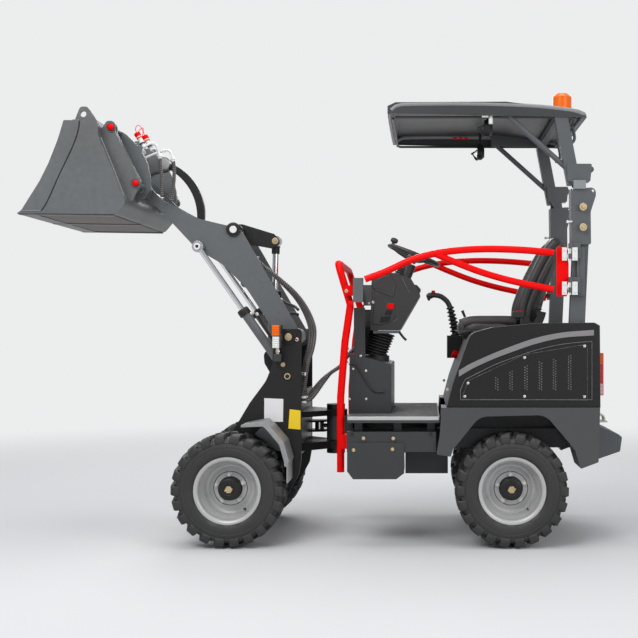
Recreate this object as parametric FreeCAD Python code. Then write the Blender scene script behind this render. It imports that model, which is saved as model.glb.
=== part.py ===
import FreeCAD, Part
import math
import os

# Compact articulated yard loader: rear frame with engine, seat and folding roll-over roof,
# front frame with a tilt-linkage loader boom and an earth bucket on a quick coupler.
# Millimetres. +X forward, +Y left, +Z up. The origin is on the ground, on the articulation axis.

# ---- driving dimensions: wheels and axles ----
tyre_diameter = 584.0
tyre_width = 216.0
tyre_lug_height = 22.0
tyre_lug_count = 22
tyre_lug_share = 0.56
rim_bead_diameter = 304.8
rim_flange_height = 18.0
rim_wall = 5.0
disc_thickness = 10.0
disc_offset = 8.0
hub_radius = 56.0
hub_length = 52.0
wheel_bolt_pcd = 142.0
wheel_bolt_radius = 7.0
wheel_bolt_count = 5
track_width = 824.0
front_axle_x = 507.0
rear_axle_x = -930.0
axle_tube_radius = 45.0
axle_drum_radius = 88.0
axle_drum_length = 60.0
axle_housing_radius = 105.0
stub_radius = 24.0
running_clearance = 0.05
seat_gap = 0.3

# ---- driving dimensions: articulation ----
pivot_pin_radius = 24.0
pivot_cap_radius = 50.0
pivot_cap_height = 30.0
arm_end_radius = 62.0
upper_arm_bottom = 637.0
arm_thickness = 30.0
lower_arm_top = 499.0
knuckle_gap = 3.0
knuckle_radius = 50.0
steer_rear_pin = (-420.0, -120.0)
steer_front_pin = (110.0, -205.0)
steer_level = 559.0
steer_barrel_radius = 25.0
steer_barrel_length = 300.0
steer_rod_radius = 12.0
steer_eye_radius = 26.0
steer_eye_height = 40.0

# ---- driving dimensions: front frame ----
tower_half_width = 275.0
tower_plate = 15.0
tower_top = 1108.0
tower_back_x = 158.0
tower_head_x = 302.0
tower_bottom = 207.0
beam_back_x = 160.0
mudguard_inner_y = 292.0
mudguard_width = 200.0
mudguard_sheet = 4.0
lamp_x = 277.0
lamp_depth = 46.0
lamp_inner_y = 287.0
lamp_width = 84.0
lamp_top = 1129.0
lamp_split = 1069.0
lamp_low = 1009.0
lamp_box = 40.0

# ---- driving dimensions: loader boom ----
boom_pivot = (226.0, 1066.0)
boom_tip = (1000.0, 1838.0)
boom_half_width = 190.0
boom_plate = 15.0
boom_pin_radius = 25.0
boom_hub_radius = 46.0
boom_tip_radius = 38.0
torsion_tube = (472.0, 1352.0)
torsion_tube_radius = 22.0
lift_base = (231.0, 860.0)
lift_eye = (710.0, 1543.0)
lift_y = 225.0
lift_barrel_radius = 24.0
lift_barrel_length = 430.0
lift_rod_radius = 14.0
lift_eye_radius = 30.0
lift_pin_radius = 15.0
lift_rod_inside = 66.0
lift_eye_half = 22.0
bore_gap = 1.0

# ---- driving dimensions: tilt linkage ----
crank_pivot = (530.0, 1637.0)
crank_rear_pin = (330.0, 1589.0)
crank_front_pin = (760.0, 1628.0)
crank_plate = 12.0
crank_gap = 22.0
crank_pin_radius = 20.0
link_thickness = 30.0
link_pin = (935.0, 2010.0)
link_pin_radius = 16.0
link_width = 44.0
link_bulge = 88.0
tilt_base = (345.0, 962.0)
tilt_barrel_radius = 32.0
tilt_barrel_length = 355.0
tilt_rod_radius = 16.0
tilt_eye_radius = 32.0
tilt_rod_inside = 120.0

# ---- driving dimensions: hoses ----
hose_radius = 10.0
hose_gap = 0.3
hose_bend = 60.0

# ---- driving dimensions: coupler and bucket ----
coupler_half_width = 398.0
coupler_inner_y = 282.0
coupler_lug_y = 202.0
lock_pin_top = (1108.0, 2135.0)
lock_pin_low = (982.0, 1849.0)
lock_pin_radius = 13.0
coupler_plate = 14.0
bucket_half_width = 520.0
bucket_wall = 8.0
bucket_floor = 12.0
bucket_side = 10.0
bucket_hook_y = 430.0
bucket_hook_plate = 14.0
bucket_lip = (1559.0, 1690.0)
bucket_floor_rear = (1066.0, 1684.0)
bucket_heel = (1009.0, 1750.0)
bucket_knee = (1150.0, 2077.0)
bucket_top = (1157.0, 2157.0)
lifting_eye_radius = 15.0
coupler_pin_radius = 20.0

# ---- driving dimensions: rear frame ----
rail_inner_y = 240.0
rail_width = 50.0
rail_bottom = 488.0
rail_top = 588.0
frame_front_x = -95.0
frame_rear_x = -1376.0
sill_inner_y = 440.0
sill_width = 50.0
floor_half_width = 500.0
floor_bottom = 635.0
floor_thickness = 30.0
floor_rear_x = -598.0
step_width = 288.0
step_drop = 137.0
step_plate = 8.0
step_depth = 130.0
fender_outer_y = 515.0
fender_inner_y = 290.0
fender_top = 712.0
fender_sheet = 5.0
hood_half_width = 500.0
hood_sheet = 6.0
hood_top = 1141.0
hood_slope = ((-631.0, 836.0), (-720.0, 1087.0))
hood_panel_sheet = 4.0
seat_well_half = 262.0
seat_well_floor = 1050.0
engine_length = 480.0
engine_rear_x = -1195.0
engine_height = 400.0
weight_half_width = 240.0
weight_tail_x = -1530.0

# ---- driving dimensions: operator station ----
guard_tube_radius = 19.0
guard_half_width = 410.0
guard_top = 1446.0
latch_front_x = -126.0
console_half_width = 300.0
console_wall = 6.0
panel_x = -118.0
bellows_x = -226.0
bellows_radius = 62.0
bellows_base = 962.0
bellows_folds = 8
dash_half_width = 150.0
column_radius = 34.0
wheel_ring_radius = 146.0
wheel_ring_tube = 9.0
hub_below = 23.5
wheel_centre = (-418.0, 1487.0)
wheel_tilt = 22.0
dash_bottom = 1100.0
seat_half_width = 235.0
cushion_height = 125.0
lever_base = 1069.0
lever_boot_radius = 46.0
side_bar_radius = 17.5
side_bar_outset = 32.0
side_hinge_x = -1222.0
side_hinge_outset = 57.0
side_hinge_levels = (1318.0, 1488.0)
hinge_barrel = 11.0
hinge_pin = 5.0

# ---- driving dimensions: folding roll-over frame ----
post_inset = 52.0
post_width = 50.0
post_depth = 78.0
fold_pin = (-1293.0, 1619.0)
fold_pin_radius = 11.0
post_foot = (-1242.0, 720.0)
post_head_z = 1578.0
upper_foot = (-1246.0, 1838.0)
upper_head = (-1178.0, 2190.0)
upper_depth = 66.0
cheek_plate = 8.0
tongue_plate = 6.0
cheek_gap = 2.0
ear_hole = (-1337.0, 1806.0)
ear_hole_radius = 7.0
strut_radius = 14.0
roof_front_x = -300.0
roof_rear_x = -1309.0
roof_overhang = 32.0
roof_front_z = 2236.0
roof_rear_z = 2203.0
roof_rim = 36.0
roof_crown_x = -900.0
roof_crown_z = 2258.0
roof_sheet = 6.0
beacon_radius = 52.0
beacon_x = -1243.0
beacon_top = 2400.0

hose_pitch = 2 * hose_radius + hose_gap
V = FreeCAD.Vector
X, Y, Z = V(1, 0, 0), V(0, 1, 0), V(0, 0, 1)
post_y = hood_half_width - post_inset
roof_half_width = post_y + roof_overhang
side_bar_y = post_y + side_bar_outset
side_hinge_y = post_y + side_hinge_outset
axle_z = tyre_diameter / 2
half_track = track_width / 2
sides = (1, -1)


# ---- plain shapes ----

def block(x, y, z):
    """A box between the low and high ends of x, y and z, in any order."""
    (x0, x1), (y0, y1), (z0, z1) = sorted(x), sorted(y), sorted(z)
    return Part.makeBox(x1 - x0, y1 - y0, z1 - z0, V(x0, y0, z0))


def band(inner, thickness, side):
    """The two Y values of a layer that starts at inner and grows outwards on one side."""
    return (side * inner, side * (inner + thickness))


def rod(start, end, radius):
    """A round bar between two points."""
    return Part.makeCylinder(radius, (end - start).Length, start, end - start)


def disc_xz(centre, y, radius):
    """A round bar across the machine, at centre (x, z), between the two values of y."""
    y0, y1 = sorted(y)
    return Part.makeCylinder(radius, y1 - y0, V(centre[0], y0, centre[1]), Y)


def fuse(shapes):
    """All the shapes as one, with the seams between their flat faces taken out."""
    shapes = list(shapes)
    return shapes[0].multiFuse(shapes[1:]).removeSplitter() if shapes[1:] else shapes[0]


def cut(shape, tools):
    return shape.cut(Part.makeCompound(list(tools)))


def group(shapes):
    return Part.makeCompound(list(shapes))


def loop(corners, place):
    """A closed wire through corners (u, v) or (u, v, radius), rounded where a radius is given."""
    spots = [V(c[0], c[1], 0) for c in corners]
    radii = [c[2] if len(c) > 2 else 0 for c in corners]
    starts, ends, mids = [], [], []
    for i, here in enumerate(spots):
        back = (spots[i - 1] - here).normalize()
        ahead = (spots[(i + 1) % len(spots)] - here).normalize()
        half = back.getAngle(ahead) / 2
        reach = radii[i] / math.tan(half)
        middle = (back + ahead).normalize() if radii[i] else V()
        starts.append(here + back * reach)
        ends.append(here + ahead * reach)
        mids.append(here + middle * (radii[i] / math.sin(half) - radii[i]))
    edges = []
    for i, radius in enumerate(radii):
        if radius:
            edges.append(Part.Arc(place(starts[i]), place(mids[i]), place(ends[i])).toShape())
        following = starts[(i + 1) % len(spots)]
        if (following - ends[i]).Length > 1e-6:
            edges.append(Part.LineSegment(place(ends[i]), place(following)).toShape())
    return Part.Wire(edges)


def plate(corners, y):
    """A plate with an outline in X and Z, between the two values of y."""
    y0, y1 = sorted(y)
    wire = loop(corners, lambda p: V(p.x, y0, p.y))
    return Part.Face(wire).extrude(V(0, y1 - y0, 0))


def flat_plate(corners, z):
    """A plate with an outline in X and Y, between the two values of z."""
    z0, z1 = sorted(z)
    wire = loop(corners, lambda p: V(p.x, p.y, z0))
    return Part.Face(wire).extrude(V(0, 0, z1 - z0))


def cross_plate(corners, x):
    """A plate with an outline in Y and Z, between the two values of x."""
    x0, x1 = sorted(x)
    wire = loop(corners, lambda p: V(x0, p.x, p.y))
    return Part.Face(wire).extrude(V(x1 - x0, 0, 0))


def turned(corners, centre, axis=Y, angle=360.0):
    """A turned solid: corners are (distance along axis, radius) around an axis through centre."""
    side = Z if abs(axis.z) < 0.9 else X
    side = (side - axis * side.dot(axis)).normalize()
    wire = loop(corners, lambda p: centre + axis * p.x + side * p.y)
    return Part.Face(wire).revolve(centre, axis, angle)


def bent_bar(points, bend, radius):
    """A round bar along straight runs that are joined by bends of one radius."""
    edges, start = [], points[0]
    for i in range(1, len(points) - 1):
        here = points[i]
        back, ahead = (points[i - 1] - here).normalize(), (points[i + 1] - here).normalize()
        half = back.getAngle(ahead) / 2
        reach = bend / math.tan(half)
        enter, leave = here + back * reach, here + ahead * reach
        middle = here + (back + ahead).normalize() * (bend / math.sin(half) - bend)
        edges += [Part.LineSegment(start, enter).toShape(), Part.Arc(enter, middle, leave).toShape()]
        start = leave
    edges.append(Part.LineSegment(start, points[-1]).toShape())
    path = Part.Wire(edges)
    ring = Part.Wire(Part.makeCircle(radius, points[0], points[1] - points[0]))
    return path.makePipeShell([ring], True, False)


def at(spot, y=0.0):
    return V(spot[0], y, spot[1])


def towards(a, b):
    return (at(b) - at(a)).normalize()


# ---- wheels and axles ----

bead_radius = rim_bead_diameter / 2
flange_radius = bead_radius + rim_flange_height
tread_radius = tyre_diameter / 2 - tyre_lug_height
rim_half = tyre_width / 2 - 15.0
flange_sheet = rim_wall


def tyre(centre):
    """A closed ring on the rim's bead seats, with two rows of shoulder lugs, half a pitch apart."""
    half = tyre_width / 2
    bead_half = rim_half - flange_sheet
    section = [
        (-bead_half, bead_radius), (bead_half, bead_radius),
        (bead_half, flange_radius), (half - 4, flange_radius + 22, 12),
        (half - 3, tread_radius - 52, 20), (half - 14, tread_radius - 4, 8),
        (0, tread_radius, 300),
        (-half + 14, tread_radius - 4, 8), (-half + 3, tread_radius - 52, 20),
        (-half + 4, flange_radius + 22, 12), (-bead_half, flange_radius),
    ]
    carcass = turned([c[:2] for c in section], centre)
    pitch = 360.0 / tyre_lug_count
    top = tyre_diameter / 2
    lug = [
        (8, tread_radius - 8), (8, top), (half - 12, top - 3), (half, top - 16),
        (half, tread_radius - 26), (half - 12, tread_radius - 34),
    ]
    lugs = []
    for side, lead in ((1, 0.0), (-1, 0.5)):
        one = turned([(side * a, r) for a, r in lug], centre, Y, pitch * tyre_lug_share)
        for i in range(tyre_lug_count):
            turn = pitch * (i + lead - tyre_lug_share / 2)
            lugs.append(one.rotated(centre, Y, turn))
    return carcass.multiFuse(lugs)


def wheel(centre, side):
    """Welded well rim and disc, with the hub that turns on the axle's stub."""
    deep = bead_radius - 20.0
    rim = [
        (-rim_half, flange_radius), (-rim_half + flange_sheet, flange_radius),
        (-rim_half + flange_sheet, bead_radius), (-45, bead_radius), (-30, deep),
        (25, deep), (40, bead_radius), (rim_half - flange_sheet, bead_radius),
        (rim_half - flange_sheet, flange_radius), (rim_half, flange_radius),
        (rim_half, bead_radius - rim_wall), (40 + rim_wall, bead_radius - rim_wall),
        (25 + rim_wall, deep - rim_wall), (-30 - rim_wall, deep - rim_wall),
        (-45 - rim_wall, bead_radius - rim_wall), (-rim_half, bead_radius - rim_wall),
    ]
    web = disc_offset
    disc = [
        (-web, stub_radius + 4), (-web, 96), (-web - 12, deep - rim_wall),
        (-web - 12 + disc_thickness, deep - rim_wall), (-web + disc_thickness, 96),
        (-web + disc_thickness, stub_radius + 4),
    ]
    hub_start = -web
    hub = [
        (hub_start, stub_radius + running_clearance), (hub_start, hub_radius + 14),
        (hub_start + disc_thickness + 4, hub_radius + 14), (hub_start + disc_thickness + 4, hub_radius),
        (hub_start + hub_length, hub_radius), (hub_start + hub_length + 6, hub_radius - 10),
        (hub_start + hub_length + 6, 0), (hub_start + hub_length, 0),
        (hub_start + hub_length, stub_radius + running_clearance),
    ]
    rings = [turned([(side * a, r) for a, r in part], centre) for part in (rim, disc, hub)]
    nuts = []
    for i in range(wheel_bolt_count):
        turn = 2 * math.pi * i / wheel_bolt_count
        spot = centre + V(math.sin(turn), 0, math.cos(turn)) * (wheel_bolt_pcd / 2)
        nuts.append(rod(spot + Y * side * (-web + 2), spot + Y * side * (-web + disc_thickness + 16),
                        wheel_bolt_radius + 2))
    return fuse(rings + nuts)


def axle(x):
    """Drive axle: centre housing, tubes, wheel-end drums and the stubs that carry the wheels."""
    drum_end = half_track - disc_offset - seat_gap
    drum_start = drum_end - axle_drum_length
    stub_end = half_track - disc_offset + hub_length - 1.0
    centre = V(x, 0, axle_z)
    profile = [
        (0, axle_housing_radius), (50, axle_housing_radius), (110, axle_tube_radius + 14),
        (130, axle_tube_radius), (drum_start - 26, axle_tube_radius), (drum_start, axle_drum_radius),
        (drum_end, axle_drum_radius), (drum_end, stub_radius), (stub_end, stub_radius),
    ]
    outline = [(-stub_end, 0)] + [(-a, r) for a, r in reversed(profile[1:])] + profile + [(stub_end, 0)]
    return turned(outline, centre)


# ---- front frame ----

def front_tower():
    """Two tall side plates joined by a rear bulkhead, beams and the articulation arms."""
    outer, inner = tower_half_width, tower_half_width - tower_plate
    side = [
        (tower_back_x, tower_top, 18), (tower_head_x, tower_top, 12), (312, 918, 60),
        (345, 835, 120), (430, 720, 150), (505, 594, 60), (590, 470, 40), (590, 228, 20),
        (566, tower_bottom, 10), (248, tower_bottom, 20), (tower_back_x + 14, 345, 60),
        (tower_back_x, 430, 60),
    ]
    cheeks = [plate(side, band(inner, tower_plate, s)) for s in sides]
    bulkhead = block((beam_back_x, beam_back_x + tower_plate), (-inner, inner),
                     (lower_arm_top - arm_thickness - 20, 700))
    rear_beam = block((beam_back_x, 258), (-inner, inner), (700, 780))
    nose = block((572, 587), (-inner, inner), (250, 445))
    saddle = block((320, 572), (-inner, inner), (432, 447))
    lug_inner = crank_gap / 2 + link_thickness
    lugs = []
    for s in sides:
        lug = [(175, 778), (258, 705), (386, 920, 20), (392, 984, 34), (330, 1002, 30), (282, 938, 60)]
        lugs.append(plate(lug, band(lug_inner - 6, 14, s)))
    tilt_pin = disc_xz(tilt_base, (-lug_inner - 14, lug_inner + 14), crank_pin_radius)
    pivot = disc_xz(boom_pivot, (-outer - 12, outer + 12), boom_pin_radius)
    collar = disc_xz(boom_pivot, (-outer - 6, outer + 6), boom_pin_radius + 14)
    collar = cut(collar, [disc_xz(boom_pivot, (-inner, inner), boom_pin_radius + 14)])
    lift_inner = lift_y - lift_barrel_radius - 8
    lift_pins = [disc_xz(lift_base, (s * lift_inner, s * (outer + 10)), lift_pin_radius) for s in sides]
    arms = []
    flare = 205.0
    arm = [
        (-arm_end_radius, -arm_end_radius * 0.7, 40), (20, -arm_end_radius - 6, 20), (160, -flare),
        (160, flare), (20, arm_end_radius + 6, 20), (-arm_end_radius, arm_end_radius * 0.7, 40),
    ]
    for bottom in (upper_arm_bottom, lower_arm_top - arm_thickness - 10):
        top = bottom + arm_thickness if bottom == upper_arm_bottom else lower_arm_top
        arms.append(flat_plate(arm, (bottom, top)))
    bore = Part.makeCylinder(pivot_pin_radius, 400, V(0, 0, 400), Z)
    ear = [(60, -240, 20), (160, -250), (160, -150), (75, -170, 20)]
    ears = []
    for low in (steer_level - steer_eye_height / 2 - 13, steer_level + steer_eye_height / 2 + 1):
        ears.append(flat_plate(ear, (low, low + 12)))
    solid = fuse(cheeks + [bulkhead, rear_beam, nose, saddle, pivot, tilt_pin, collar]
                 + lugs + lift_pins + arms + ears)
    return cut(solid, [bore, axle(front_axle_x)])


def front_mudguards():
    """A folded, lipped strip over the upper rear quarter of each front tyre, with a flap, on a bracket."""
    t = mudguard_sheet
    fold = [(440, 622), (325, 644), (288, 612), (222, 535), (196, 440), (208, 412)]
    inside = [(208 + t, 414), (196 + t + 1, 440), (222 + t, 533), (290 + t, 608), (326 + t, 640), (440, 622 - t)]
    edge = [(220, 415), (222, 440), (246, 524), (306, 596), (328, 616), (440, 612)]
    made = []
    for s in sides:
        wide = band(mudguard_inner_y, mudguard_width, s)
        strip = plate(fold + inside, wide)
        lip = plate(fold + edge, band(mudguard_inner_y + mudguard_width - t, t, s))
        flap = block((203, 209), wide, (330, 426))
        tab = plate([(205, 470), (246, 555), (330, 630), (400, 560), (300, 470)],
                    (s * tower_half_width, s * (mudguard_inner_y + 4)))
        rear_face = plate([(440, 622 - t), (326 + t, 640), (290 + t, 608), (222 + t, 533), (196 + t + 1, 440),
                           (440, 440)], (s * (tower_half_width - 1), s * (mudguard_inner_y + 5)))
        made.append(fuse([strip, lip, flap, tab.common(rear_face)]))
    return group(made)


def front_lamps():
    """Turn signal over marker lamp on an arm at the tower's head, with the plug's box below."""
    made = []
    back = (lamp_x - lamp_depth / 2, lamp_x + lamp_depth / 2)
    inside = (lamp_x - lamp_depth / 2 + 3, lamp_x + lamp_depth / 2 - 3)
    stem = (lamp_x - 9, lamp_x + 9)
    for s in sides:
        wide = band(lamp_inner_y, lamp_width, s)
        upper = block(back, wide, (lamp_split + 2, lamp_top))
        lower = block(inside, wide, (lamp_low, lamp_split + 2))
        arm = block(stem, (s * tower_half_width, s * (lamp_inner_y + 20)), (lamp_low + 10, lamp_split))
        neck = block(stem, band(lamp_inner_y + 20, 24, s), (lamp_low - 30, lamp_low))
        box = block((lamp_x - lamp_box / 2, lamp_x + lamp_box / 2), band(lamp_inner_y + 8, lamp_box, s),
                    (lamp_low - 30 - lamp_box, lamp_low - 30))
        made.append(fuse([upper, lower, arm, neck, box]))
    return group(made)


# ---- loader boom ----

def boom():
    """Two bent side plates on a hub tube, stiffened by a cross tube."""
    outer, inner = boom_half_width, boom_half_width - boom_plate
    side = [
        (174, 1088), (492, 1642, 70), (728, 1698, 260), (914, 1798, 200), (978, 1869),
        (1019, 1806), (946, 1761, 60), (880, 1698, 300), (728, 1535, 300), (589, 1453, 200),
        (462, 1326, 200), (276, 1040),
    ]
    plates = []
    for s in sides:
        tip = disc_xz(boom_tip, band(inner, boom_plate, s), boom_tip_radius)
        heel = disc_xz(boom_pivot, band(inner, boom_plate, s), 60)
        plates.append(fuse([plate(side, band(inner, boom_plate, s)), tip, heel]))
    hub = disc_xz(boom_pivot, (-inner, inner), boom_hub_radius)
    stiffener = disc_xz(torsion_tube, (-inner, inner), torsion_tube_radius)
    bosses = []
    for s in sides:
        bosses.append(disc_xz(crank_pivot, band(outer, 6, s), crank_pin_radius + 16))
        bosses.append(disc_xz(boom_tip, band(outer, 6, s), coupler_pin_radius + 14))
    solid = fuse(plates + bosses + [hub, stiffener])
    bores = [
        disc_xz(boom_pivot, (-outer, outer), boom_pin_radius + running_clearance),
        disc_xz(crank_pivot, (-outer - 6, outer + 6), crank_pin_radius + running_clearance),
        disc_xz(boom_tip, (-outer - 6, outer + 6), coupler_pin_radius + running_clearance),
    ]
    return cut(solid, bores)


def cylinder_barrel(base, end, y, length, radius, bore, eye_radius, pin_radius, eye_half):
    """A hydraulic barrel from its base eye towards end, bored from the gland."""
    along = towards(base, end)
    foot = at(base, y)
    tube = rod(foot + along * eye_radius * 0.8, foot + along * length, radius)
    gland = rod(foot + along * (length - 34), foot + along * length, radius + 5)
    eye = disc_xz(base, (y - eye_half, y + eye_half), eye_radius)
    hollow = rod(foot + along * (eye_radius + 16), foot + along * (length + 1), bore)
    hole = disc_xz(base, (y - eye_half - 1, y + eye_half + 1), pin_radius)
    return cut(fuse([tube, gland, eye]), [hollow, hole])


def cylinder_rod(base, end, y, start, radius, eye_radius, eye_half):
    """A rod that reaches from inside its barrel to the eye on its far pin."""
    along = towards(base, end)
    foot = at(base, y)
    shaft = rod(foot + along * start, at(end, y), radius)
    eye = disc_xz(end, (y - eye_half, y + eye_half), eye_radius)
    return fuse([shaft, eye])


def lift_barrels():
    return group(
        cylinder_barrel(lift_base, lift_eye, s * lift_y, lift_barrel_length, lift_barrel_radius,
                        lift_rod_radius + bore_gap, lift_eye_radius,
                        lift_pin_radius + running_clearance, lift_eye_half)
        for s in sides)


def lift_rods():
    """Both lift rods, with the eye and pin head just clear of the boom's plate."""
    start = lift_barrel_length - lift_rod_inside
    made = []
    for s in sides:
        shaft = cylinder_rod(lift_base, lift_eye, s * lift_y, start, lift_rod_radius,
                             lift_eye_radius, lift_eye_half)
        near = boom_half_width + 0.5
        pin = disc_xz(lift_eye, (s * near, s * (lift_y + lift_eye_half + 10)), lift_pin_radius)
        made.append(fuse([shaft, pin]))
    return group(made)


# ---- tilt linkage ----

def crank_pin():
    """The pin that carries the bell crank across the boom."""
    reach = boom_half_width + 12
    return disc_xz(crank_pivot, (-reach, reach), crank_pin_radius)


def bellcrank():
    """Two plates on a sleeve, with the tilt rod behind and the curved link in front."""
    inner = crank_gap
    outline = [
        (crank_rear_pin[0] - 34, crank_rear_pin[1] - 8, 26), (crank_rear_pin[0] + 4, crank_rear_pin[1] + 38, 26),
        (crank_pivot[0] - 20, crank_pivot[1] + 44, 40), (crank_front_pin[0] + 24, crank_front_pin[1] + 34, 26),
        (crank_front_pin[0] + 32, crank_front_pin[1] - 28, 26), (crank_pivot[0] + 30, crank_pivot[1] - 48, 60),
        (crank_rear_pin[0] + 12, crank_rear_pin[1] - 40, 26),
    ]
    cheeks = [plate(outline, band(inner, crank_plate, s)) for s in sides]
    sleeve = disc_xz(crank_pivot, (-110, 110), crank_pin_radius + 16)
    bore = disc_xz(crank_pivot, (-120, 120), crank_pin_radius + running_clearance)
    return cut(fuse(cheeks + [sleeve]), [bore])


def tilt_link():
    """A flat banana-shaped link, bowed up and back, with an eye at each end."""
    low, high = crank_front_pin, link_pin
    along = towards(low, high)
    out = V(-along.z, 0, along.x)
    middle = (at(low) + at(high)) * 0.5 + out * link_bulge
    half = link_width / 2
    y = (-link_thickness / 2, link_thickness / 2)
    base = V(0, y[0], 0)
    outer = Part.Arc(at(low) + out * half + base, middle + out * half + base, at(high) + out * half + base)
    inner = Part.Arc(at(high) - out * half + base, middle - out * half + base, at(low) - out * half + base)
    ends = [
        Part.LineSegment(at(high) + out * half + base, at(high) - out * half + base),
        Part.LineSegment(at(low) - out * half + base, at(low) + out * half + base),
    ]
    wire = Part.Wire([outer.toShape(), ends[0].toShape(), inner.toShape(), ends[1].toShape()])
    bow = Part.Face(wire).extrude(V(0, link_thickness, 0))
    eyes = [disc_xz(low, y, half + 12), disc_xz(high, y, half + 8)]
    pin = disc_xz(low, (-crank_gap + 0.5, crank_gap - 0.5), link_pin_radius)
    bore = disc_xz(high, (y[0] - 1, y[1] + 1), link_pin_radius + running_clearance)
    return cut(fuse([bow, pin] + eyes), [bore])


def link_pin_piece():
    """The pin through the coupler's lugs and the link, with a keeper washer at each end."""
    reach = link_thickness / 2 + 6 + coupler_plate + seat_gap
    shank = disc_xz(link_pin, (-reach, reach), link_pin_radius)
    washers = [disc_xz(link_pin, band(reach, 8, s), link_pin_radius + 14) for s in sides]
    return fuse([shank] + washers)


def tilt_barrel():
    return cylinder_barrel(tilt_base, crank_rear_pin, 0.0, tilt_barrel_length, tilt_barrel_radius,
                           tilt_rod_radius + bore_gap, tilt_eye_radius + 6,
                           crank_pin_radius + running_clearance, 30.0)


def tilt_rod():
    start = tilt_barrel_length - tilt_rod_inside
    piece = cylinder_rod(tilt_base, crank_rear_pin, 0.0, start, tilt_rod_radius, tilt_eye_radius, 18.0)
    pin = disc_xz(crank_rear_pin, (-crank_gap + 0.5, crank_gap - 0.5), link_pin_radius)
    return fuse([piece, pin])


# ---- coupler and bucket ----

def tip_pin():
    """The pin through the boom's tip on which the quick coupler tips."""
    reach = coupler_inner_y + coupler_plate + 8
    return disc_xz(boom_tip, (-reach, reach), coupler_pin_radius)


def along_back(run, out):
    """A point run along the bucket's back from its heel, and out behind it."""
    d = towards(bucket_heel, bucket_knee)
    return (bucket_heel[0] + d.x * run - d.z * out, bucket_heel[1] + d.z * run + d.x * out)


def quick_coupler():
    """Cross plate behind the bucket with outer cheeks, pivot plates, link lugs and lock pins."""
    gap = seat_gap
    outer = [
        along_back(70, gap), along_back(330, gap), (1128, 2163, 16), (1086, 2163, 24),
        (1086, 2108, 30), (960, 1862, 26), (980, 1812, 20),
    ]
    pivot_plate = [
        along_back(40, gap), along_back(330, gap), (1112, 2150, 20), (1068, 2122, 40),
        (1000, 2052, 90), (962, 1975, 90), (944, 1900, 60), (944, 1836, 40), (982, 1790, 24),
    ]
    lug = [
        along_back(150, gap + 10), along_back(262, gap + 10), (962, 2048, 24), (915, 2046, 24),
        (898, 2000, 24), (932, 1974, 24), (1010, 1960, 60),
    ]
    ear = [
        along_back(130, gap + 10), along_back(240, gap + 10), (1010, 1900, 60), (962, 1870, 24),
        (962, 1806, 24), (1016, 1800, 12), (1040, 1850, 20),
    ]
    link_gap = link_thickness / 2 + 6
    parts = []
    for s in sides:
        parts.append(plate(outer, band(coupler_half_width, coupler_plate, s)))
        parts.append(plate(pivot_plate, band(coupler_inner_y, coupler_plate, s)))
        parts.append(plate(lug, band(link_gap, coupler_plate, s)))
        parts.append(plate(ear, band(coupler_lug_y, coupler_plate, s)))
        reach = bucket_hook_y + bucket_hook_plate + 8
        for spot in (lock_pin_top, lock_pin_low):
            parts.append(disc_xz(spot, (s * coupler_inner_y, s * reach), lock_pin_radius))
        parts.append(disc_xz(lock_pin_top, band(coupler_half_width + coupler_plate, 12, s), 26))
    t = coupler_plate
    cross = [along_back(132, gap), along_back(330, gap), along_back(330, gap + t), along_back(132, gap + t)]
    parts.append(plate(cross, (-coupler_half_width, coupler_half_width)))
    bores = [
        disc_xz(boom_tip, (-400, 400), coupler_pin_radius + running_clearance),
        disc_xz(link_pin, (-400, 400), link_pin_radius + running_clearance),
    ]
    return cut(fuse(parts), bores)


def bucket():
    """Rolled earth bucket: floor and back in one sheet, two side plates, hook plates behind."""
    t, thick = bucket_wall, bucket_floor
    back = [(*bucket_floor_rear, 30), (*bucket_heel, 45), (*bucket_knee, 60), bucket_top]
    wrap = [bucket_lip] + back + [
        (bucket_top[0] + t, bucket_top[1]), (bucket_knee[0] + t, bucket_knee[1] - 3, 55),
        (bucket_heel[0] + 12, bucket_heel[1] + 5, 37), (bucket_floor_rear[0] + 7, bucket_floor_rear[1] + thick, 22),
        (bucket_lip[0] - 40, bucket_lip[1] + thick - 3),
    ]
    sheet = plate(wrap, (-bucket_half_width, bucket_half_width))
    side = [bucket_lip] + back + [
        (1323, bucket_top[1]), (1348, 2077, 100), (1383, 1978, 300), (1432, 1872, 200), (1538, 1703),
    ]
    cheeks = [plate(side, band(bucket_half_width - bucket_side, bucket_side, s)) for s in sides]
    top_bar = block((1160, 1232), (-bucket_half_width, bucket_half_width), (bucket_top[1] - 16, bucket_top[1]))
    eyes, hooks = [], []
    for s in sides:
        eye = [(1162, 2150), (1168, 2170, 10), (1208, 2227, 20), (1244, 2227, 20), (1275, 2150)]
        tab = plate(eye, band(bucket_half_width - bucket_side - 12, 12, s))
        eyes.append(cut(tab, [disc_xz((1228, 2189), (-600, 600), lifting_eye_radius)]))
        hook = [
            along_back(24, -4), along_back(392, -4), (1130, 2168, 18), (1084, 2168, 26),
            (1086, 2110, 30), (955, 1853, 26), (996, 1770, 16), (1016, 1757, 8),
        ]
        hooks.append(plate(hook, band(bucket_hook_y, bucket_hook_plate, s)))
    bores = [disc_xz(spot, (-600, 600), lock_pin_radius + running_clearance)
             for spot in (lock_pin_top, lock_pin_low)]
    return fuse([sheet, top_bar] + cheeks + eyes + [cut(group(hooks), bores)])


# ---- hoses ----

def hose_run(points, spread, bends=hose_bend):
    """A round hose through (x, y, z) points, moved sideways by spread."""
    return bent_bar([V(x, y + spread, z) for x, y, z in points], bends, hose_radius)


def boom_hoses():
    """Three hoses side by side, from behind the boom's hub up along its left plate to the tip."""
    plate_side = boom_half_width - boom_plate - hose_gap - hose_radius - hose_pitch
    route = [
        (150, 116, 1200), (205, 118, 1285), (290, 126, 1372), (385, 136, 1456), (470, plate_side, 1520),
        (580, plate_side, 1572), (700, plate_side, 1622), (815, plate_side, 1690), (882, plate_side, 1756),
    ]
    return group(hose_run(route, hose_pitch * i) for i in (-1, 0, 1))


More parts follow.
